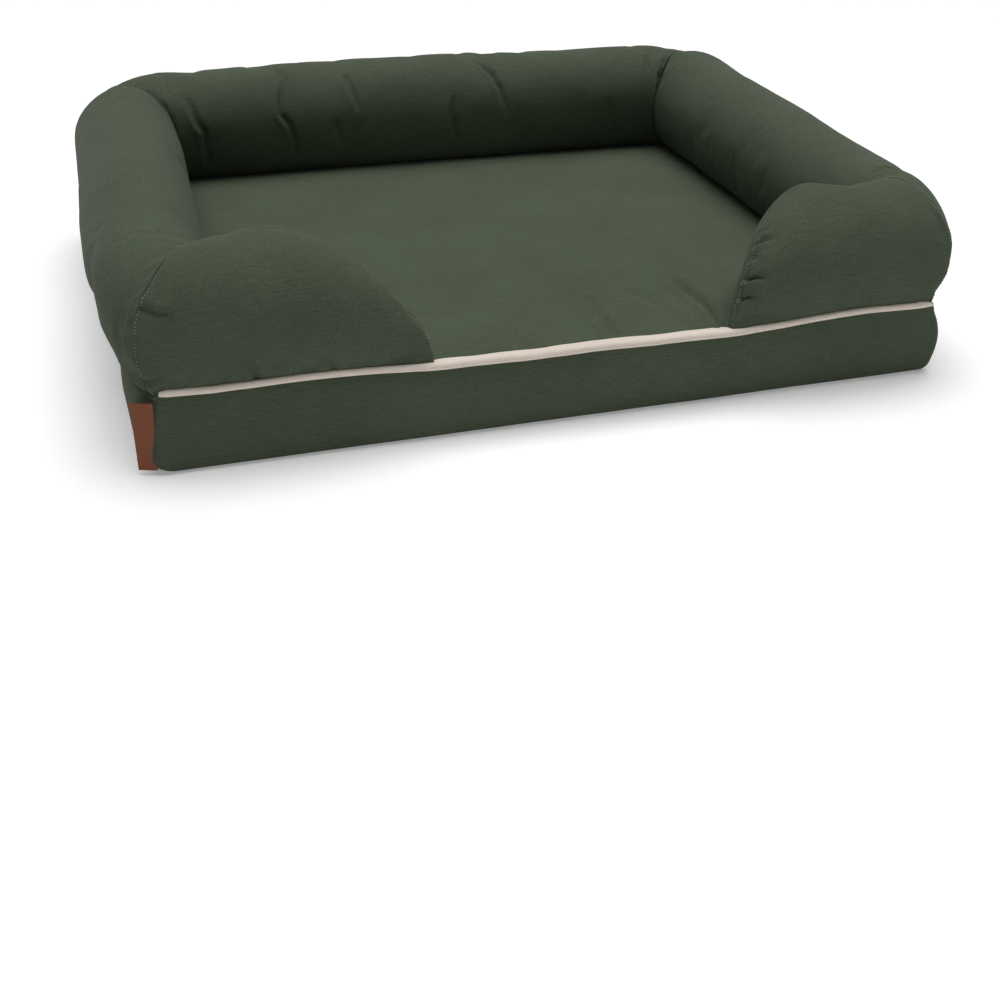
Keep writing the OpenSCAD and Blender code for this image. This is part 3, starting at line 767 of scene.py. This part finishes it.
def simulated(name, p, most):
    n, k = p.shape[:2]
    rows = np.unique([*range(0, n, swelling["every"]), n - 1])
    columns = np.unique([*range(0, k, swelling["every"]), k - 1])
    coarse = p[np.ix_(rows, columns)]
    obj = closedRoll(name + "Swelling", coarse, cloth)
    sewn = obj.vertex_groups.new(name="sewn")
    foot = np.minimum(ringAngle[columns] + 90, 270 - ringAngle[columns])
    ends = np.minimum(np.arange(len(rows)), len(rows) - 1 - np.arange(len(rows)))
    held = np.maximum(unit(1 - foot / swelling["footHeld"])[None, :], (ends < 1)[:, None])
    for v, weight in enumerate(held.ravel()):
        if weight > 0:
            sewn.add([v], float(weight), "REPLACE")
    c = obj.modifiers.new("swelling", "CLOTH")
    for key, value in swelling["cloth"].items():
        setattr(c.settings, key, value)
    c.settings.effector_weights.gravity = 0
    c.point_cache.frame_start, c.point_cache.frame_end = 1, swelling["frames"]
    for frameNumber in range(1, swelling["frames"] + 1):
        bpy.context.scene.frame_set(frameNumber)
    result = obj.evaluated_get(bpy.context.evaluated_depsgraph_get()).data
    flat = np.zeros(coarse.size, np.float32)
    result.vertices.foreach_get("co", flat)
    moved = flat.reshape(coarse.shape).astype(float) - coarse
    length = np.linalg.norm(moved, axis=2, keepdims=True)
    moved *= most * np.tanh(length / most) / np.maximum(length, 1e-9)
    bpy.data.objects.remove(obj)
    bpy.context.scene.frame_set(1)
    print(f"{name}: cloth moved {length.mean() / mm:.1f} mm, {length.max() / mm:.1f} mm at most")
    moved = interpolated(moved, rows, np.arange(n), 0)
    return p + interpolated(moved, columns, np.arange(k), 1)


bolster = (
    # name, grid, how far the simulation may move it, axis of its straight threads, fill, nodes
    ("backBolster", buildBack(), 3.5 * mm, 0, 0.8, "back_bolster_cover", "back_bolster_fill"),
    ("leftArm", buildArm(False), 1.5 * mm, 1, 0.85, "left_arm_cover", "left_arm_fill"),
    ("rightArm", buildArm(True), 1.5 * mm, 1, 0.85, "right_arm_cover", "right_arm_fill"),
    ("leftReturn", buildReturn(roll["leftL"], 41, False), 2 * mm, 0, 0.85,
     "left_return_front_panel", "left_return_rear_panel", "left_return_fill"),
    ("rightReturn", buildReturn(roll["rightL"], 51, True), 2 * mm, 0, 0.85,
     "right_return_front_panel", "right_return_rear_panel", "right_return_fill"),
)
grids = {name: simulated(name, grid, most) for name, grid, most, *_ in bolster}
for name, _, _, axis, fill, *nodes in bolster:
    fitted(closedRoll(name, grids[name], cloth, axis), "cover_cloth", *nodes)
print("bolster done")


# the base: the seat over its foam, and the bands round it

def seatHeight(x, y):
    crownX = innerX + roll["tuck"]
    low, high = innerFrontY, innerBackY + roll["tuck"]
    ux = np.minimum(np.abs(x) / crownX, 1)
    uy = np.minimum(np.abs(y - (low + high) / 2) / ((high - low) / 2), 1)
    front = unit((y - frontY) / base["frontSlope"])
    return baseTop + base["seatCrown"] * (1 - ux ** 4) * (1 - uy ** 4) + frontLift(x) * (1 - front) ** 2


# the soft base isn't square: how its front corners stand in or out, and how far its lower edge comes forward
skew = {"topLeftIn": 6.5 * mm, "lowLeftOut": 5.5 * mm, "topRightIn": 10 * mm,
        "rightOut": 8 * mm, "forward": 0.023, "level": 0.05,
        "cornerUp": 12 * mm, "cornerReach": 26 * mm, "splay": (5 * mm, 11 * mm),
        # where each of them begins, and how much the splay loses behind the arm's front
        "frontFrom": 0.02, "sideFrom": 0.25, "cornerFrom": 0.33, "splayFrom": 0.05, "rightPeak": 1.15,
        "splayBehind": (4 * mm, 36 * mm), "splayLoss": 0.8, "lossOver": (-0.27, -0.05)}


def baseSettle(p):
    x, y, z = p[..., 0], p[..., 1], p[..., 2]
    t = unit(z / baseTop)
    front = ease(-y, skew["frontFrom"], -frontY)
    left, right = (ease(side * x, skew["sideFrom"], halfW) for side in (-1, 1))
    dx = left * (skew["topLeftIn"] * t - skew["lowLeftOut"] * (1 - t)) - right * skew["topRightIn"] * t ** 4
    dx += right * skew["rightOut"] * np.sin(np.pi * np.minimum(t * skew["rightPeak"], 1))
    dy = -(skew["level"] - x) * skew["forward"] * (1 - t) * front
    near = unit(1 - np.abs(halfW + x) / skew["cornerReach"]) * ease(-y, skew["cornerFrom"], -frontY)
    dz = skew["cornerUp"] * near ** 2 * (1 - t) ** 2
    behind = ease(y, *(frontY + s for s in skew["splayBehind"]))
    behind *= 1 - skew["splayLoss"] * ease(y, *skew["lossOver"])
    splay = (skew["splay"][0] + skew["splay"][1] * np.sin(np.pi * t)) * ease(-x, halfW - skew["splayFrom"], halfW)
    splay *= behind
    return np.stack([x + dx * front - splay, y + dy, z + dz], -1)


seatFolds = [
    ([(58, -400), (56, -340), (57, -310), (60, -262)], 6, 6.5, 3.5),
    ([(148, -385), (143, -355), (134, -298), (116, -255)], 9, 5.0, 3.0),
    ([(194, -430), (192, -390), (190, -345), (187, -300), (181, -245)], 6, 13.0, 6.0),
    ([(200, -410), (198, -376), (209, -362), (222, -342), (236, -322), (252, -300), (280, -276)], 15, 13.0, 0.0),
    ([(-52, -392), (-60, -330)], 12, 2.0, 1.0),
]


foamSides = (
    # how far in from the bands, and from the zip, each loop lies; then how far under the edge, or how high
    (3 * mm, 9.5 * mm, 2.2 * mm, None), (3 * mm, 9.5 * mm, None, 20 * mm), (16 * mm, 22 * mm, None, 2.5 * mm),
)


def buildSeat():
    nx, ny, edge = 187, 154, 1.9 * mm
    x, y = np.meshgrid(np.linspace(halfW - edge, edge - halfW, nx), np.linspace(frontY + edge, rearY - edge, ny))
    h = unevenness(x / mm, y / mm, 61, (0.9, 120, 120), (0.4, 45, 45))
    h = folded(h, x / mm, y / mm, seatFolds) + puckers(x / mm, (y - frontY) / mm, 65, 26, 0.9, 24)
    free = unit((halfW - np.abs(x)) / base["foldsEnd"]) * unit((rearY - y) / base["foldsEnd"])
    z = seatHeight(x, y) + h * free * unit((y - frontY) / (13 * mm)) * mm
    top = np.stack([x, y, z], 2)
    faces = [*gridFaces(ny, nx)]
    slots = [0] * len(faces)
    loops, points = [gridBorder(ny, nx)], top.reshape(-1, 3)
    for setIn, rear, under, height in foamSides:
        ring = points[loops[0]]
        ring[:, 0] = np.clip(ring[:, 0], setIn - halfW, halfW - setIn)
        ring[:, 1] = np.clip(ring[:, 1], frontY + setIn, rearY - rear)
        ring[:, 2] = ring[:, 2] - under if under else height
        loops.append([*range(len(points), len(points) + len(ring))])
        points = np.concatenate([points, ring])
    for a, b in zip(loops, loops[1:]):
        faces += zip(a, a[1:] + a[:1], b[1:] + b[:1], b)
    faces.append(loops[-1])
    slots += [1] * (len(faces) - len(slots))
    places = np.concatenate([clothPlaces(top).reshape(-1, 3), points[top.size // 3:]])
    return baseSettle(points), faces, places, slots


foam = wovenCloth("foam", {"colour": (0.75, 0.66, 0.4), "pitch": 2 * mm, "sheen": 0.0})
points, faces, places, slots = buildSeat()
seat = makeMesh("seatCushion", points, faces, [cloth, foam], places, slots)
outward(seat)
fitted(seat, "cover_cloth", "seat_panel", "foam_slab")


def bandPath(length, face, n, inset):
    # a band's course at one height: straight, with a rounded end at each corner
    r = base["cornerR"] * max(0.0, 1 - inset / base["edgeR"])
    straight, out = length / 2 - inset - r, face - inset
    arc = 6
    a = np.concatenate([np.full(arc, -1.0), np.linspace(-1, 1, n), np.full(arc, 1.0)])
    turn = np.concatenate([np.linspace(45, 45 / arc, arc), np.zeros(n), np.linspace(45 / arc, 45, arc)])
    turn = np.radians(turn)
    return a * straight + np.sign(a) * r * np.sin(turn), out - r + r * np.cos(turn)


def bandRows(low, high, count):
    # how far in and how high each row lies; a band that starts at the floor has a rounded lower edge
    r = base["edgeR"] if low <= 0 else 0.0
    turns = np.radians(90 * np.arange(8) / 8) if low <= 0 else []
    low = max(low, r)
    return [(r * (1 - math.sin(a)), r * (1 - math.cos(a))) for a in turns] + [
        (0.0, low + (high - low) * i / count) for i in range(count + 1)]


def buildBand(length, face, low, high, count, bulge, seed, isFront):
    grid = []
    for inset, z in bandRows(low, high, count):
        x, y = bandPath(length, face, int(round(length / (6 * mm))), inset)
        t = unit(np.abs(x) / (length / 2))
        out = 0 if z <= base["edgeR"] else bulge * math.sin(
            math.pi * (z - base["edgeR"]) / (baseTop - base["edgeR"])) * (1 - t ** 5)
        h = unevenness(x / mm, np.full_like(x, z / mm), seed, (0.7, 110, 60), (0.35, 32, 45))
        lift = frontLift(-x) * (z / baseTop) ** 3 if isFront else 0 * x
        grid.append(np.stack([x, y + out + h * mm * (1 - t ** 8), z + lift], 1))
    return np.array(grid)


def bandPiece(name, grid, angle, middle):
    # the grid's y is the way out, which is turned to look along the angle
    a = math.radians(angle)
    along, out = np.array([math.sin(a), -math.cos(a), 0]), np.array([math.cos(a), math.sin(a), 0])
    p = baseSettle(grid[..., :1] * along + grid[..., 1:2] * out + grid[..., 2:] * (0, 0, 1) + (0, middle, 0))
    faces = gridFaces(*p.shape[:2])
    if (gridNormals(p) @ out).mean() < 0:
        faces = faces[:, ::-1]
    return makeMesh(name, p, faces, [cloth], clothPlaces(p))


width, deep = 2 * halfW, rearY - frontY
slotLow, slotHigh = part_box("rear_band_lower")[1].z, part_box("rear_band_upper")[0].z
bands = (
    # name, node, the way that it faces, length, distance out, from and to height, rows, seed, flat height
    ("frontBand", "front_band", -90, width, -frontY, 0, baseTop, 14, 71, 0.104),
    ("leftBand", "left_band", 180, deep, halfW, 0, baseTop, 14, 73, 0.104),
    ("rightBand", "right_band", 0, deep, halfW, 0, baseTop, 14, 75, 0.104),
    ("rearBandLower", "rear_band_lower", 90, width, rearY, 0, slotLow, 5, 77, slotLow + 0.010),
    ("rearBandUpper", "rear_band_upper", 90, width, rearY, slotHigh, baseTop, 7, 79, baseTop - slotHigh),
)
for name, node, angle, length, face, low, high, count, seed, flatHigh in bands:
    grid = buildBand(length, face, low, high, count, 0 if angle == 90 else base["bulge"], seed, angle == -90)
    band = bandPiece(name, grid, angle, (frontY + rearY) / 2 if angle in (0, 180) else 0)
    sheetOf(band, clothT, "cover_cloth", node)
print("base done")


# piping along the front edge: a covered cord with its flat tail lying back on the seat

piping = {
    "radius": 4.4 * mm, "set": 2.4 * mm, "tail": 12 * mm, "tailThick": 1.6 * mm,
    "pressed": 0.90, "wobble": 0.35 * mm,
    "ends": (4 * mm, 7 * mm),  # short of the left and the right side
    "tailFrom": (-0.185, -0.150), "tailTo": (0.180, 0.215),  # where the tail lies bare between the returns
}


def buildPiping():
    c, n, k = piping, 420, 28
    x = np.linspace(c["ends"][0] - halfW, halfW - c["ends"][1], n)[:, None]
    a = 2 * math.pi * np.arange(k)[None, :] / k
    bare = ease(x, *c["tailFrom"]) * (1 - ease(x, *c["tailTo"]))
    pinched = np.minimum(np.minimum(1, 0.45 + (x + halfW) / (22 * mm)), 0.35 + (halfW - x) / (30 * mm))
    wobble = c["wobble"] * noiseAt(x * 45, np.full_like(x, 3.3), 0.5)
    tail = c["tail"] * (0.35 + 0.65 * bare) * (1 + 0.25 * noiseAt(x * 30, np.full_like(x, 8.1), 0.5))
    r = c["radius"] * (c["pressed"] + (1 - c["pressed"]) * bare) * pinched  # the returns press on it
    back = np.maximum(0, np.cos(a)) ** 1.5
    y = frontY - c["set"] + r * np.cos(a) * (1 - back) + back * (r * 0.8 + tail * pinched)
    z = r * np.sin(a) * (1 - back) + back * c["tailThick"] / 2 * np.sin(a)
    z = baseTop + r * 0.35 + z + back * 1.2 * mm + wobble + frontLift(x)
    return baseSettle(np.stack([x + 0 * a, y, z], 2))


pipe = closedRoll("frontPiping", buildPiping(), cream)
fitted(pipe, "piping_cloth", "front_piping", "piping_cord")


# tag

tag = {"wide": 25 * mm, "tall": 73.5 * mm, "thick": 1.8 * mm, "rise": 6.5 * mm, "lean": 15,
       "bow": 1.6 * mm, "curl": 1.0 * mm, "leather": (0.170, 0.037, 0.005),
       "lowShare": 0.82}  # of the width, at its lower end


def leather():
    material, w = newMaterial("tagLeather")
    place = w.onObject()
    pores = w.add("ShaderNodeTexVoronoi", {"feature": "DISTANCE_TO_EDGE"}, {"Vector": place, "Scale": 900})
    fine = w.grain(place, 1500, 3.0, 0.6)
    clouds = w.grain(place, 30, 3.0, 0.5)
    colour = w.shaded(clouds * 0.7 + fine * 0.3, tag["leather"], 0.72, 1.3)
    finishMaterial(w, colour, 0.55 + (clouds - 0.5) * 0.2, pores.clamped(0, 0.12) * 4 + fine * 0.4, 0.25, 0.2 * mm)
    return material


def buildTag():
    n, k = 9, 24
    u, v = np.meshgrid(np.arange(n) / (n - 1), np.arange(k) / (k - 1), indexing="ij")
    bow = tag["bow"] * np.sin(np.pi * v) * u + tag["curl"] * u * u
    wide = tag["wide"] * (tag["lowShare"] + (1 - tag["lowShare"]) * v)
    points = np.reshape([np.stack([-wide * u, bow + face * tag["thick"] / 2, tag["rise"] + tag["tall"] * v], 2)
                         for face in (-1, 1)], (-1, 3))
    half, rim = n * k, gridBorder(n, k)
    faces = [*gridFaces(n, k), *(gridFaces(n, k)[:, ::-1] + half)]
    faces += [(a, a + half, b + half, b) for a, b in zip(rim, rim[1:] + rim[:1])]
    spot = Vector((-halfW + 2.5 * mm, frontY + base["edgeR"] / 2 - 2 * mm, 0))
    turn = Matrix.Translation(spot) @ Matrix.Rotation(math.radians(-tag["lean"]), 4, "Z")
    placed = np.array([tuple(turn @ Vector(p)) for p in points])
    corner = np.stack([np.full(len(placed), -halfW), np.full(len(placed), frontY), placed[:, 2]], 1)
    return placed + (baseSettle(corner) - corner) * (0.25, 1, 0), faces


tagPiece = makeMesh("sideTag", *buildTag(), [leather()])
outward(tagPiece)
bevel = tagPiece.modifiers.new("edge", "BEVEL")
bevel.width, bevel.segments, bevel.limit_method, bevel.angle_limit = 0.5 * mm, 2, "ANGLE", math.radians(60)
fitted(tagPiece, "tag_leather", "side_tag")
print("piping and tag done")


# topstitching: small rounded threads along the seams, half sunk in the cloth

stitch = {"pitch": 4.0 * mm, "long": 2.3 * mm, "thick": 0.55 * mm,
          "inset": 2.6 * mm, "belowArc": 4.5 * mm,  # from the seams
          "arcFrom": 98 * mm, "angles": (-58, 248)}  # where the rows start along a return and round the roll


def besideSeam(p, away, atEnd=False):
    # the line over the cloth that keeps a distance from the seam at one end of a roll, with its normals
    n = outNormals(p)
    q, n = (p[::-1], n[::-1]) if atEnd else (p, n)
    q = q[:12]
    steps = runLength(q)
    line = [pointsAt(away, steps[:, j], q[:, j]) for j in range(p.shape[1])]
    kept = (ringAngle > stitch["angles"][0]) & (ringAngle < stitch["angles"][1])
    return np.array(line)[kept], n[2][kept]


def belowArc(p, away):
    # the line that keeps a distance from the arc seam of a return, on its front panel
    n = outNormals(p)
    first = int(np.argmax(runLength(p[:, crestJ]) > stitch["arcFrom"])) - 1
    line, normals = [], []
    for i in range(first, p.shape[0] - 3):
        down = p[i, crestJ::-1]
        line.append(pointsAt(away, runLength(down), down))
        normals.append(n[i, crestJ - 2])
    return np.array(line), np.array(normals)


def stitchRow(line, normals):
    at = runLength(line)
    middles = np.arange(stitch["pitch"], at[-1] - stitch["pitch"], stitch["pitch"])
    a, b = (pointsAt(middles + end * stitch["long"] / 2, at, line) for end in (-1, 1))
    n, d = pointsAt(middles, at, normals), b - a
    d /= np.linalg.norm(d, axis=1, keepdims=True)
    side = np.cross(d, n)
    side /= np.linalg.norm(side, axis=1, keepdims=True)
    n = np.cross(side, d)
    rings = []
    for share, wide in ((0, 0.25), (0.14, 0.8), (0.5, 1.0), (0.86, 0.8), (1, 0.25)):
        middle = a + (b - a) * share + n * stitch["thick"] * (1.3 * (1 - (2 * share - 1) ** 2) - 0.35)
        for k in range(6):
            turn = math.pi * k / 3
            rings.append(middle + stitch["thick"] * wide * (math.cos(turn) * n + math.sin(turn) * side))
    return np.stack(rings, 1)  # one row of 30 points for each stitch


def stitchMesh(name, rows):
    points = np.concatenate(rows)
    one = [*gridFaces(5, 6, ring=True), range(5, -1, -1), range(24, 30)]
    faces = [[v + 30 * i for v in f] for i in range(len(points)) for f in one]
    obj = makeMesh(name, points, faces, [thread], points)
    outward(obj)
    fitted(obj, "cover_cloth")


seams = [besideSeam(grids[name], stitch["inset"]) for name in ("leftReturn", "rightReturn", "backBolster")]
seams += [besideSeam(grids["backBolster"], stitch["inset"], True)]
seams += [belowArc(grids[name], stitch["belowArc"]) for name in ("leftReturn", "rightReturn")]
stitchMesh("bolsterTopstitching", [stitchRow(*seam) for seam in seams])


# underside: one non-slip panel with rubber dots

underside = {"colour": (0.02, 0.025, 0.02), "thick": 1.4 * mm,
             "dotColour": (0.045, 0.05, 0.045), "dotPitch": 6 * mm, "dotShare": 0.24}


def nonSlip(c):
    material, w = newMaterial("undersideCloth")
    place = w.onCloth()
    far = w.add("ShaderNodeTexVoronoi", {"voronoi_dimensions": "2D", "feature": "F1"},
                {"Vector": place, "Scale": 1 / c["dotPitch"], "Randomness": 0.0})
    dot = ((c["dotShare"] - far) * 14).clamped(0, 1)
    fine = w.grain(place, 1400, 2.0, 0.6)
    clouds = w.grain(place, 14, 3.0, 0.55)
    plain = w.shaded((fine * 0.5 + clouds * 0.5).clamped(0, 1), c["colour"], 0.7, 1.4)
    finishMaterial(w, w.tinted(dot, plain, c["dotColour"]), 0.85 - dot * 0.3, dot + fine * 0.25, 0.5, 0.5 * mm)
    return material


def flatGrid(low, high, rows, columns, out, wave, seed):
    # a sheet between two corners; out is the axis that it faces along, and its outer face is at the high or low side
    axes = [k for k in range(3) if k != abs(out) - 1]
    u, v = np.meshgrid(*(np.linspace(low[k], high[k], n) for k, n in zip(axes, (columns, rows))))
    p = np.zeros((rows, columns, 3))
    p[..., axes[0]], p[..., axes[1]] = u, v
    depth = np.abs(wave * noiseAt(u / mm / 55, v / mm / 55, seed))
    p[..., abs(out) - 1] = high[1] - depth if out > 0 else low[2] + depth
    return p


low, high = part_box("bottom_panel")
panelGrid = baseSettle(flatGrid(low, high, 60, 72, -3, 0.5 * mm, 91))
panelGrid[..., 2] = np.maximum(panelGrid[..., 2], 0)
panel = makeMesh("undersidePanel", panelGrid, gridFaces(60, 72), [nonSlip(underside)], panelGrid)
sheetOf(panel, underside["thick"], "underside_cloth", "bottom_panel")
print("underside done")


# zip: tapes behind the slot in the rear band, moulded teeth, metal stops, slider and pull

zipSet = {"tape": (0.03, 0.035, 0.03), "tapePitch": 0.7 * mm, "teeth": (0.04, 0.045, 0.04), "metal": (0.5, 0.5, 0.5),
          "patchGap": 2.4 * mm, "patchProud": 0.4 * mm}
tapeCloth = wovenCloth("zipTape", {"colour": zipSet["tape"], "pitch": zipSet["tapePitch"], "sheen": 0.05}, 0.4)


def mouldedPlastic(c):
    material, w = newMaterial("zipTeeth")
    place = w.onObject()
    fine, clouds = w.grain(place, 2200, 2.0, 0.6), w.grain(place, 60, 2.0)
    colour = w.shaded(clouds * 0.6 + fine * 0.4, c["teeth"], 0.75, 1.3)
    finishMaterial(w, colour, 0.38 + fine * 0.16, fine, 0.15, 0.1 * mm)
    return material


def satinMetal(c):
    material, w = newMaterial("zipMetal")
    place = w.onObject()
    brushed = w.grain(w.scaled(place, (300, 4000, 4000)), 1.0, 2.0, 0.6)
    worn = w.grain(place, 160, 3.0, 0.6)
    colour = w.shaded(worn, c["metal"], 0.8, 1.15)
    finishMaterial(w, colour, 0.26 + brushed * 0.18, brushed, 0.12, 0.05 * mm, {"Metallic": 1.0})
    return material


teethMaterial, metalMaterial = mouldedPlastic(zipSet), satinMetal(zipSet)
for node, material in (("zip_teeth_upper", teethMaterial), ("zip_teeth_lower", teethMaterial),
                       ("zip_top_stops", metalMaterial), ("zip_bottom_stop", metalMaterial),
                       ("zip_slider", metalMaterial), ("zip_pull", metalMaterial)):
    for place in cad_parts[node].material_slots:
        place.material = material


def zipSheet(name, node, material, slotName, spans, proud, thickness):
    # flat strips that face the back, rounded like the corners
    low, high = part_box(node)
    points, faces = [], []
    for x0, x1 in spans:
        columns = max(8, int(round((x1 - x0) / (4 * mm))))
        grid = flatGrid((x0, 0, low.z), (x1, high.y + proud, high.z), 5, columns, 2, 0.12 * mm, 95)
        past = np.maximum(np.abs(grid[..., 0]) - (halfW - base["cornerR"]), 0)
        grid[..., 1] -= base["cornerR"] - np.sqrt(base["cornerR"] ** 2 - past ** 2)
        faces += [*gridFaces(5, columns, start=len(points))]
        points += [*baseSettle(grid).reshape(-1, 3)]
    obj = makeMesh(name, points, faces, [material], [(x, z, 0) for x, y, z in points])
    flat = (sum(x1 - x0 for x0, x1 in spans), high.z - low.z)
    sheetOf(obj, thickness, slotName, node)


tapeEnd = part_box("zip_tape_upper")[1].x
patchFrom, patchTo = -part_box("zip_bottom_stop")[0].x + zipSet["patchGap"], halfW - 2.2 * mm
for name, node in (("zipTapeUpper", "zip_tape_upper"), ("zipTapeLower", "zip_tape_lower")):
    zipSheet(name, node, tapeCloth, "zip_tape", [(-tapeEnd, tapeEnd)], 0, 0.8 * mm)
zipSheet("zipEndPatches", "zip_end_patches", cloth, "cover_cloth",
         [(-patchTo, -patchFrom), (patchFrom, patchTo)], zipSet["patchProud"], 1.5 * mm)


def besideZip(z):
    x = np.linspace(10 * mm - halfW, halfW - 10 * mm, 300)
    line = np.stack([x, np.full_like(x, rearY + 0.15 * mm), np.full_like(x, z)], 1)
    return line, np.zeros_like(line) + (0, 1, 0)


stitchMesh("zipTopstitching", [stitchRow(*besideZip(z)) for z in (slotLow - 3 * mm, slotHigh + 3 * mm)])
print("zip done")


# light and floor

light = {
    "low": 0.02, "high": 3.7,  # of the sky, at its sides and overhead
    "edge": (0.77, 0.99),  # where the bright part of the sky starts and is full, as heights on a unit sky
    "overhead": (0.01, 0.16, 0.98),  # the middle of the bright part of the sky
    "lamp": 9.0, "lampAt": (0.2, 0.2, 2.6), "lampWide": 1.6,
    "card": 3.3, "cardAt": (0.0, -1.9, 0.16), "cardWide": 1.0, "cardTall": 0.26,
    "glow": 0.26,  # of the floor, only to the eye of the camera
    "floorReach": 12, "floor": ((0.88, 0.88, 0.88), (0.91, 0.91, 0.91)),
}


def areaLight(name, place, aim, size, power, tall=None):
    data = bpy.data.lights.new(name, "AREA")
    data.shape, data.size, data.energy = "RECTANGLE" if tall else "DISK", size, power
    if tall:
        data.size_y = tall
    obj = bpy.data.objects.new(name, data)
    bpy.context.scene.collection.objects.link(obj)
    obj.location = place
    obj.rotation_mode = "QUATERNION"
    obj.rotation_quaternion = (Vector(aim) - Vector(place)).to_track_quat("-Z", "Y")
    obj.visible_camera = False


def raySeen(w):
    # 1 for what the camera sees, straight or through gloss and glass
    outs = w.add("ShaderNodeLightPath").socket.node.outputs
    camera, glossy, through = (Wire(w.tree, outs[f"Is {kind} Ray"]) for kind in ("Camera", "Glossy", "Transmission"))
    return camera.maths("MAXIMUM", camera.maths("MAXIMUM", camera, glossy), through)


def makeRoom():
    areaLight("softLamp", light["lampAt"], (0, 0, 0.1), light["lampWide"], light["lamp"])
    areaLight("lowCard", light["cardAt"], (0, 0, 0.06), light["cardWide"], light["card"], light["cardTall"])
    world = bpy.data.worlds.new("studio")
    bpy.context.scene.world = world
    world.use_nodes = True
    world.node_tree.nodes.clear()
    w = Wire(world.node_tree)
    seen = raySeen(w)
    sky = w.add("ShaderNodeTexCoord")
    up = w.add("ShaderNodeVectorMath", {"operation": "DOT_PRODUCT"}, {0: sky, 1: light["overhead"]}, out=1)
    lit = w.add("ShaderNodeMapRange", {"interpolation_type": "SMOOTHSTEP"}, {
        "Value": up, "From Min": light["edge"][0], "From Max": light["edge"][1],
        "To Min": light["low"], "To Max": light["high"]})
    strength = seen + (1 - seen) * lit
    back = w.add("ShaderNodeBackground", None, {"Color": (1, 1, 1, 1), "Strength": strength})
    w.add("ShaderNodeOutputWorld", None, {"Surface": back})

    floorMaterial, f = newMaterial("paleFloor")
    speck = f.grain(f.add("ShaderNodeNewGeometry"), 60, 3.0)
    tone = f.tinted(speck, *light["floor"])
    plain = f.add("ShaderNodeBsdfDiffuse", None, {"Color": tone})
    glow = f.add("ShaderNodeEmission", None, {"Color": (1, 1, 1, 1), "Strength": raySeen(f) * light["glow"]})
    both = f.add("ShaderNodeAddShader", None, {0: plain, 1: glow})
    f.add("ShaderNodeOutputMaterial", None, {"Surface": both})
    far = light["floorReach"]
    corners = [(-far, -far, 0), (far, -far, 0), (far, far, 0), (-far, far, 0)]
    floor = makeMesh("floor", corners, [(0, 1, 2, 3)], [floorMaterial])
    floor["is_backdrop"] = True


makeRoom()
bpy.context.scene.view_settings.view_transform = "Standard"

low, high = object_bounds()
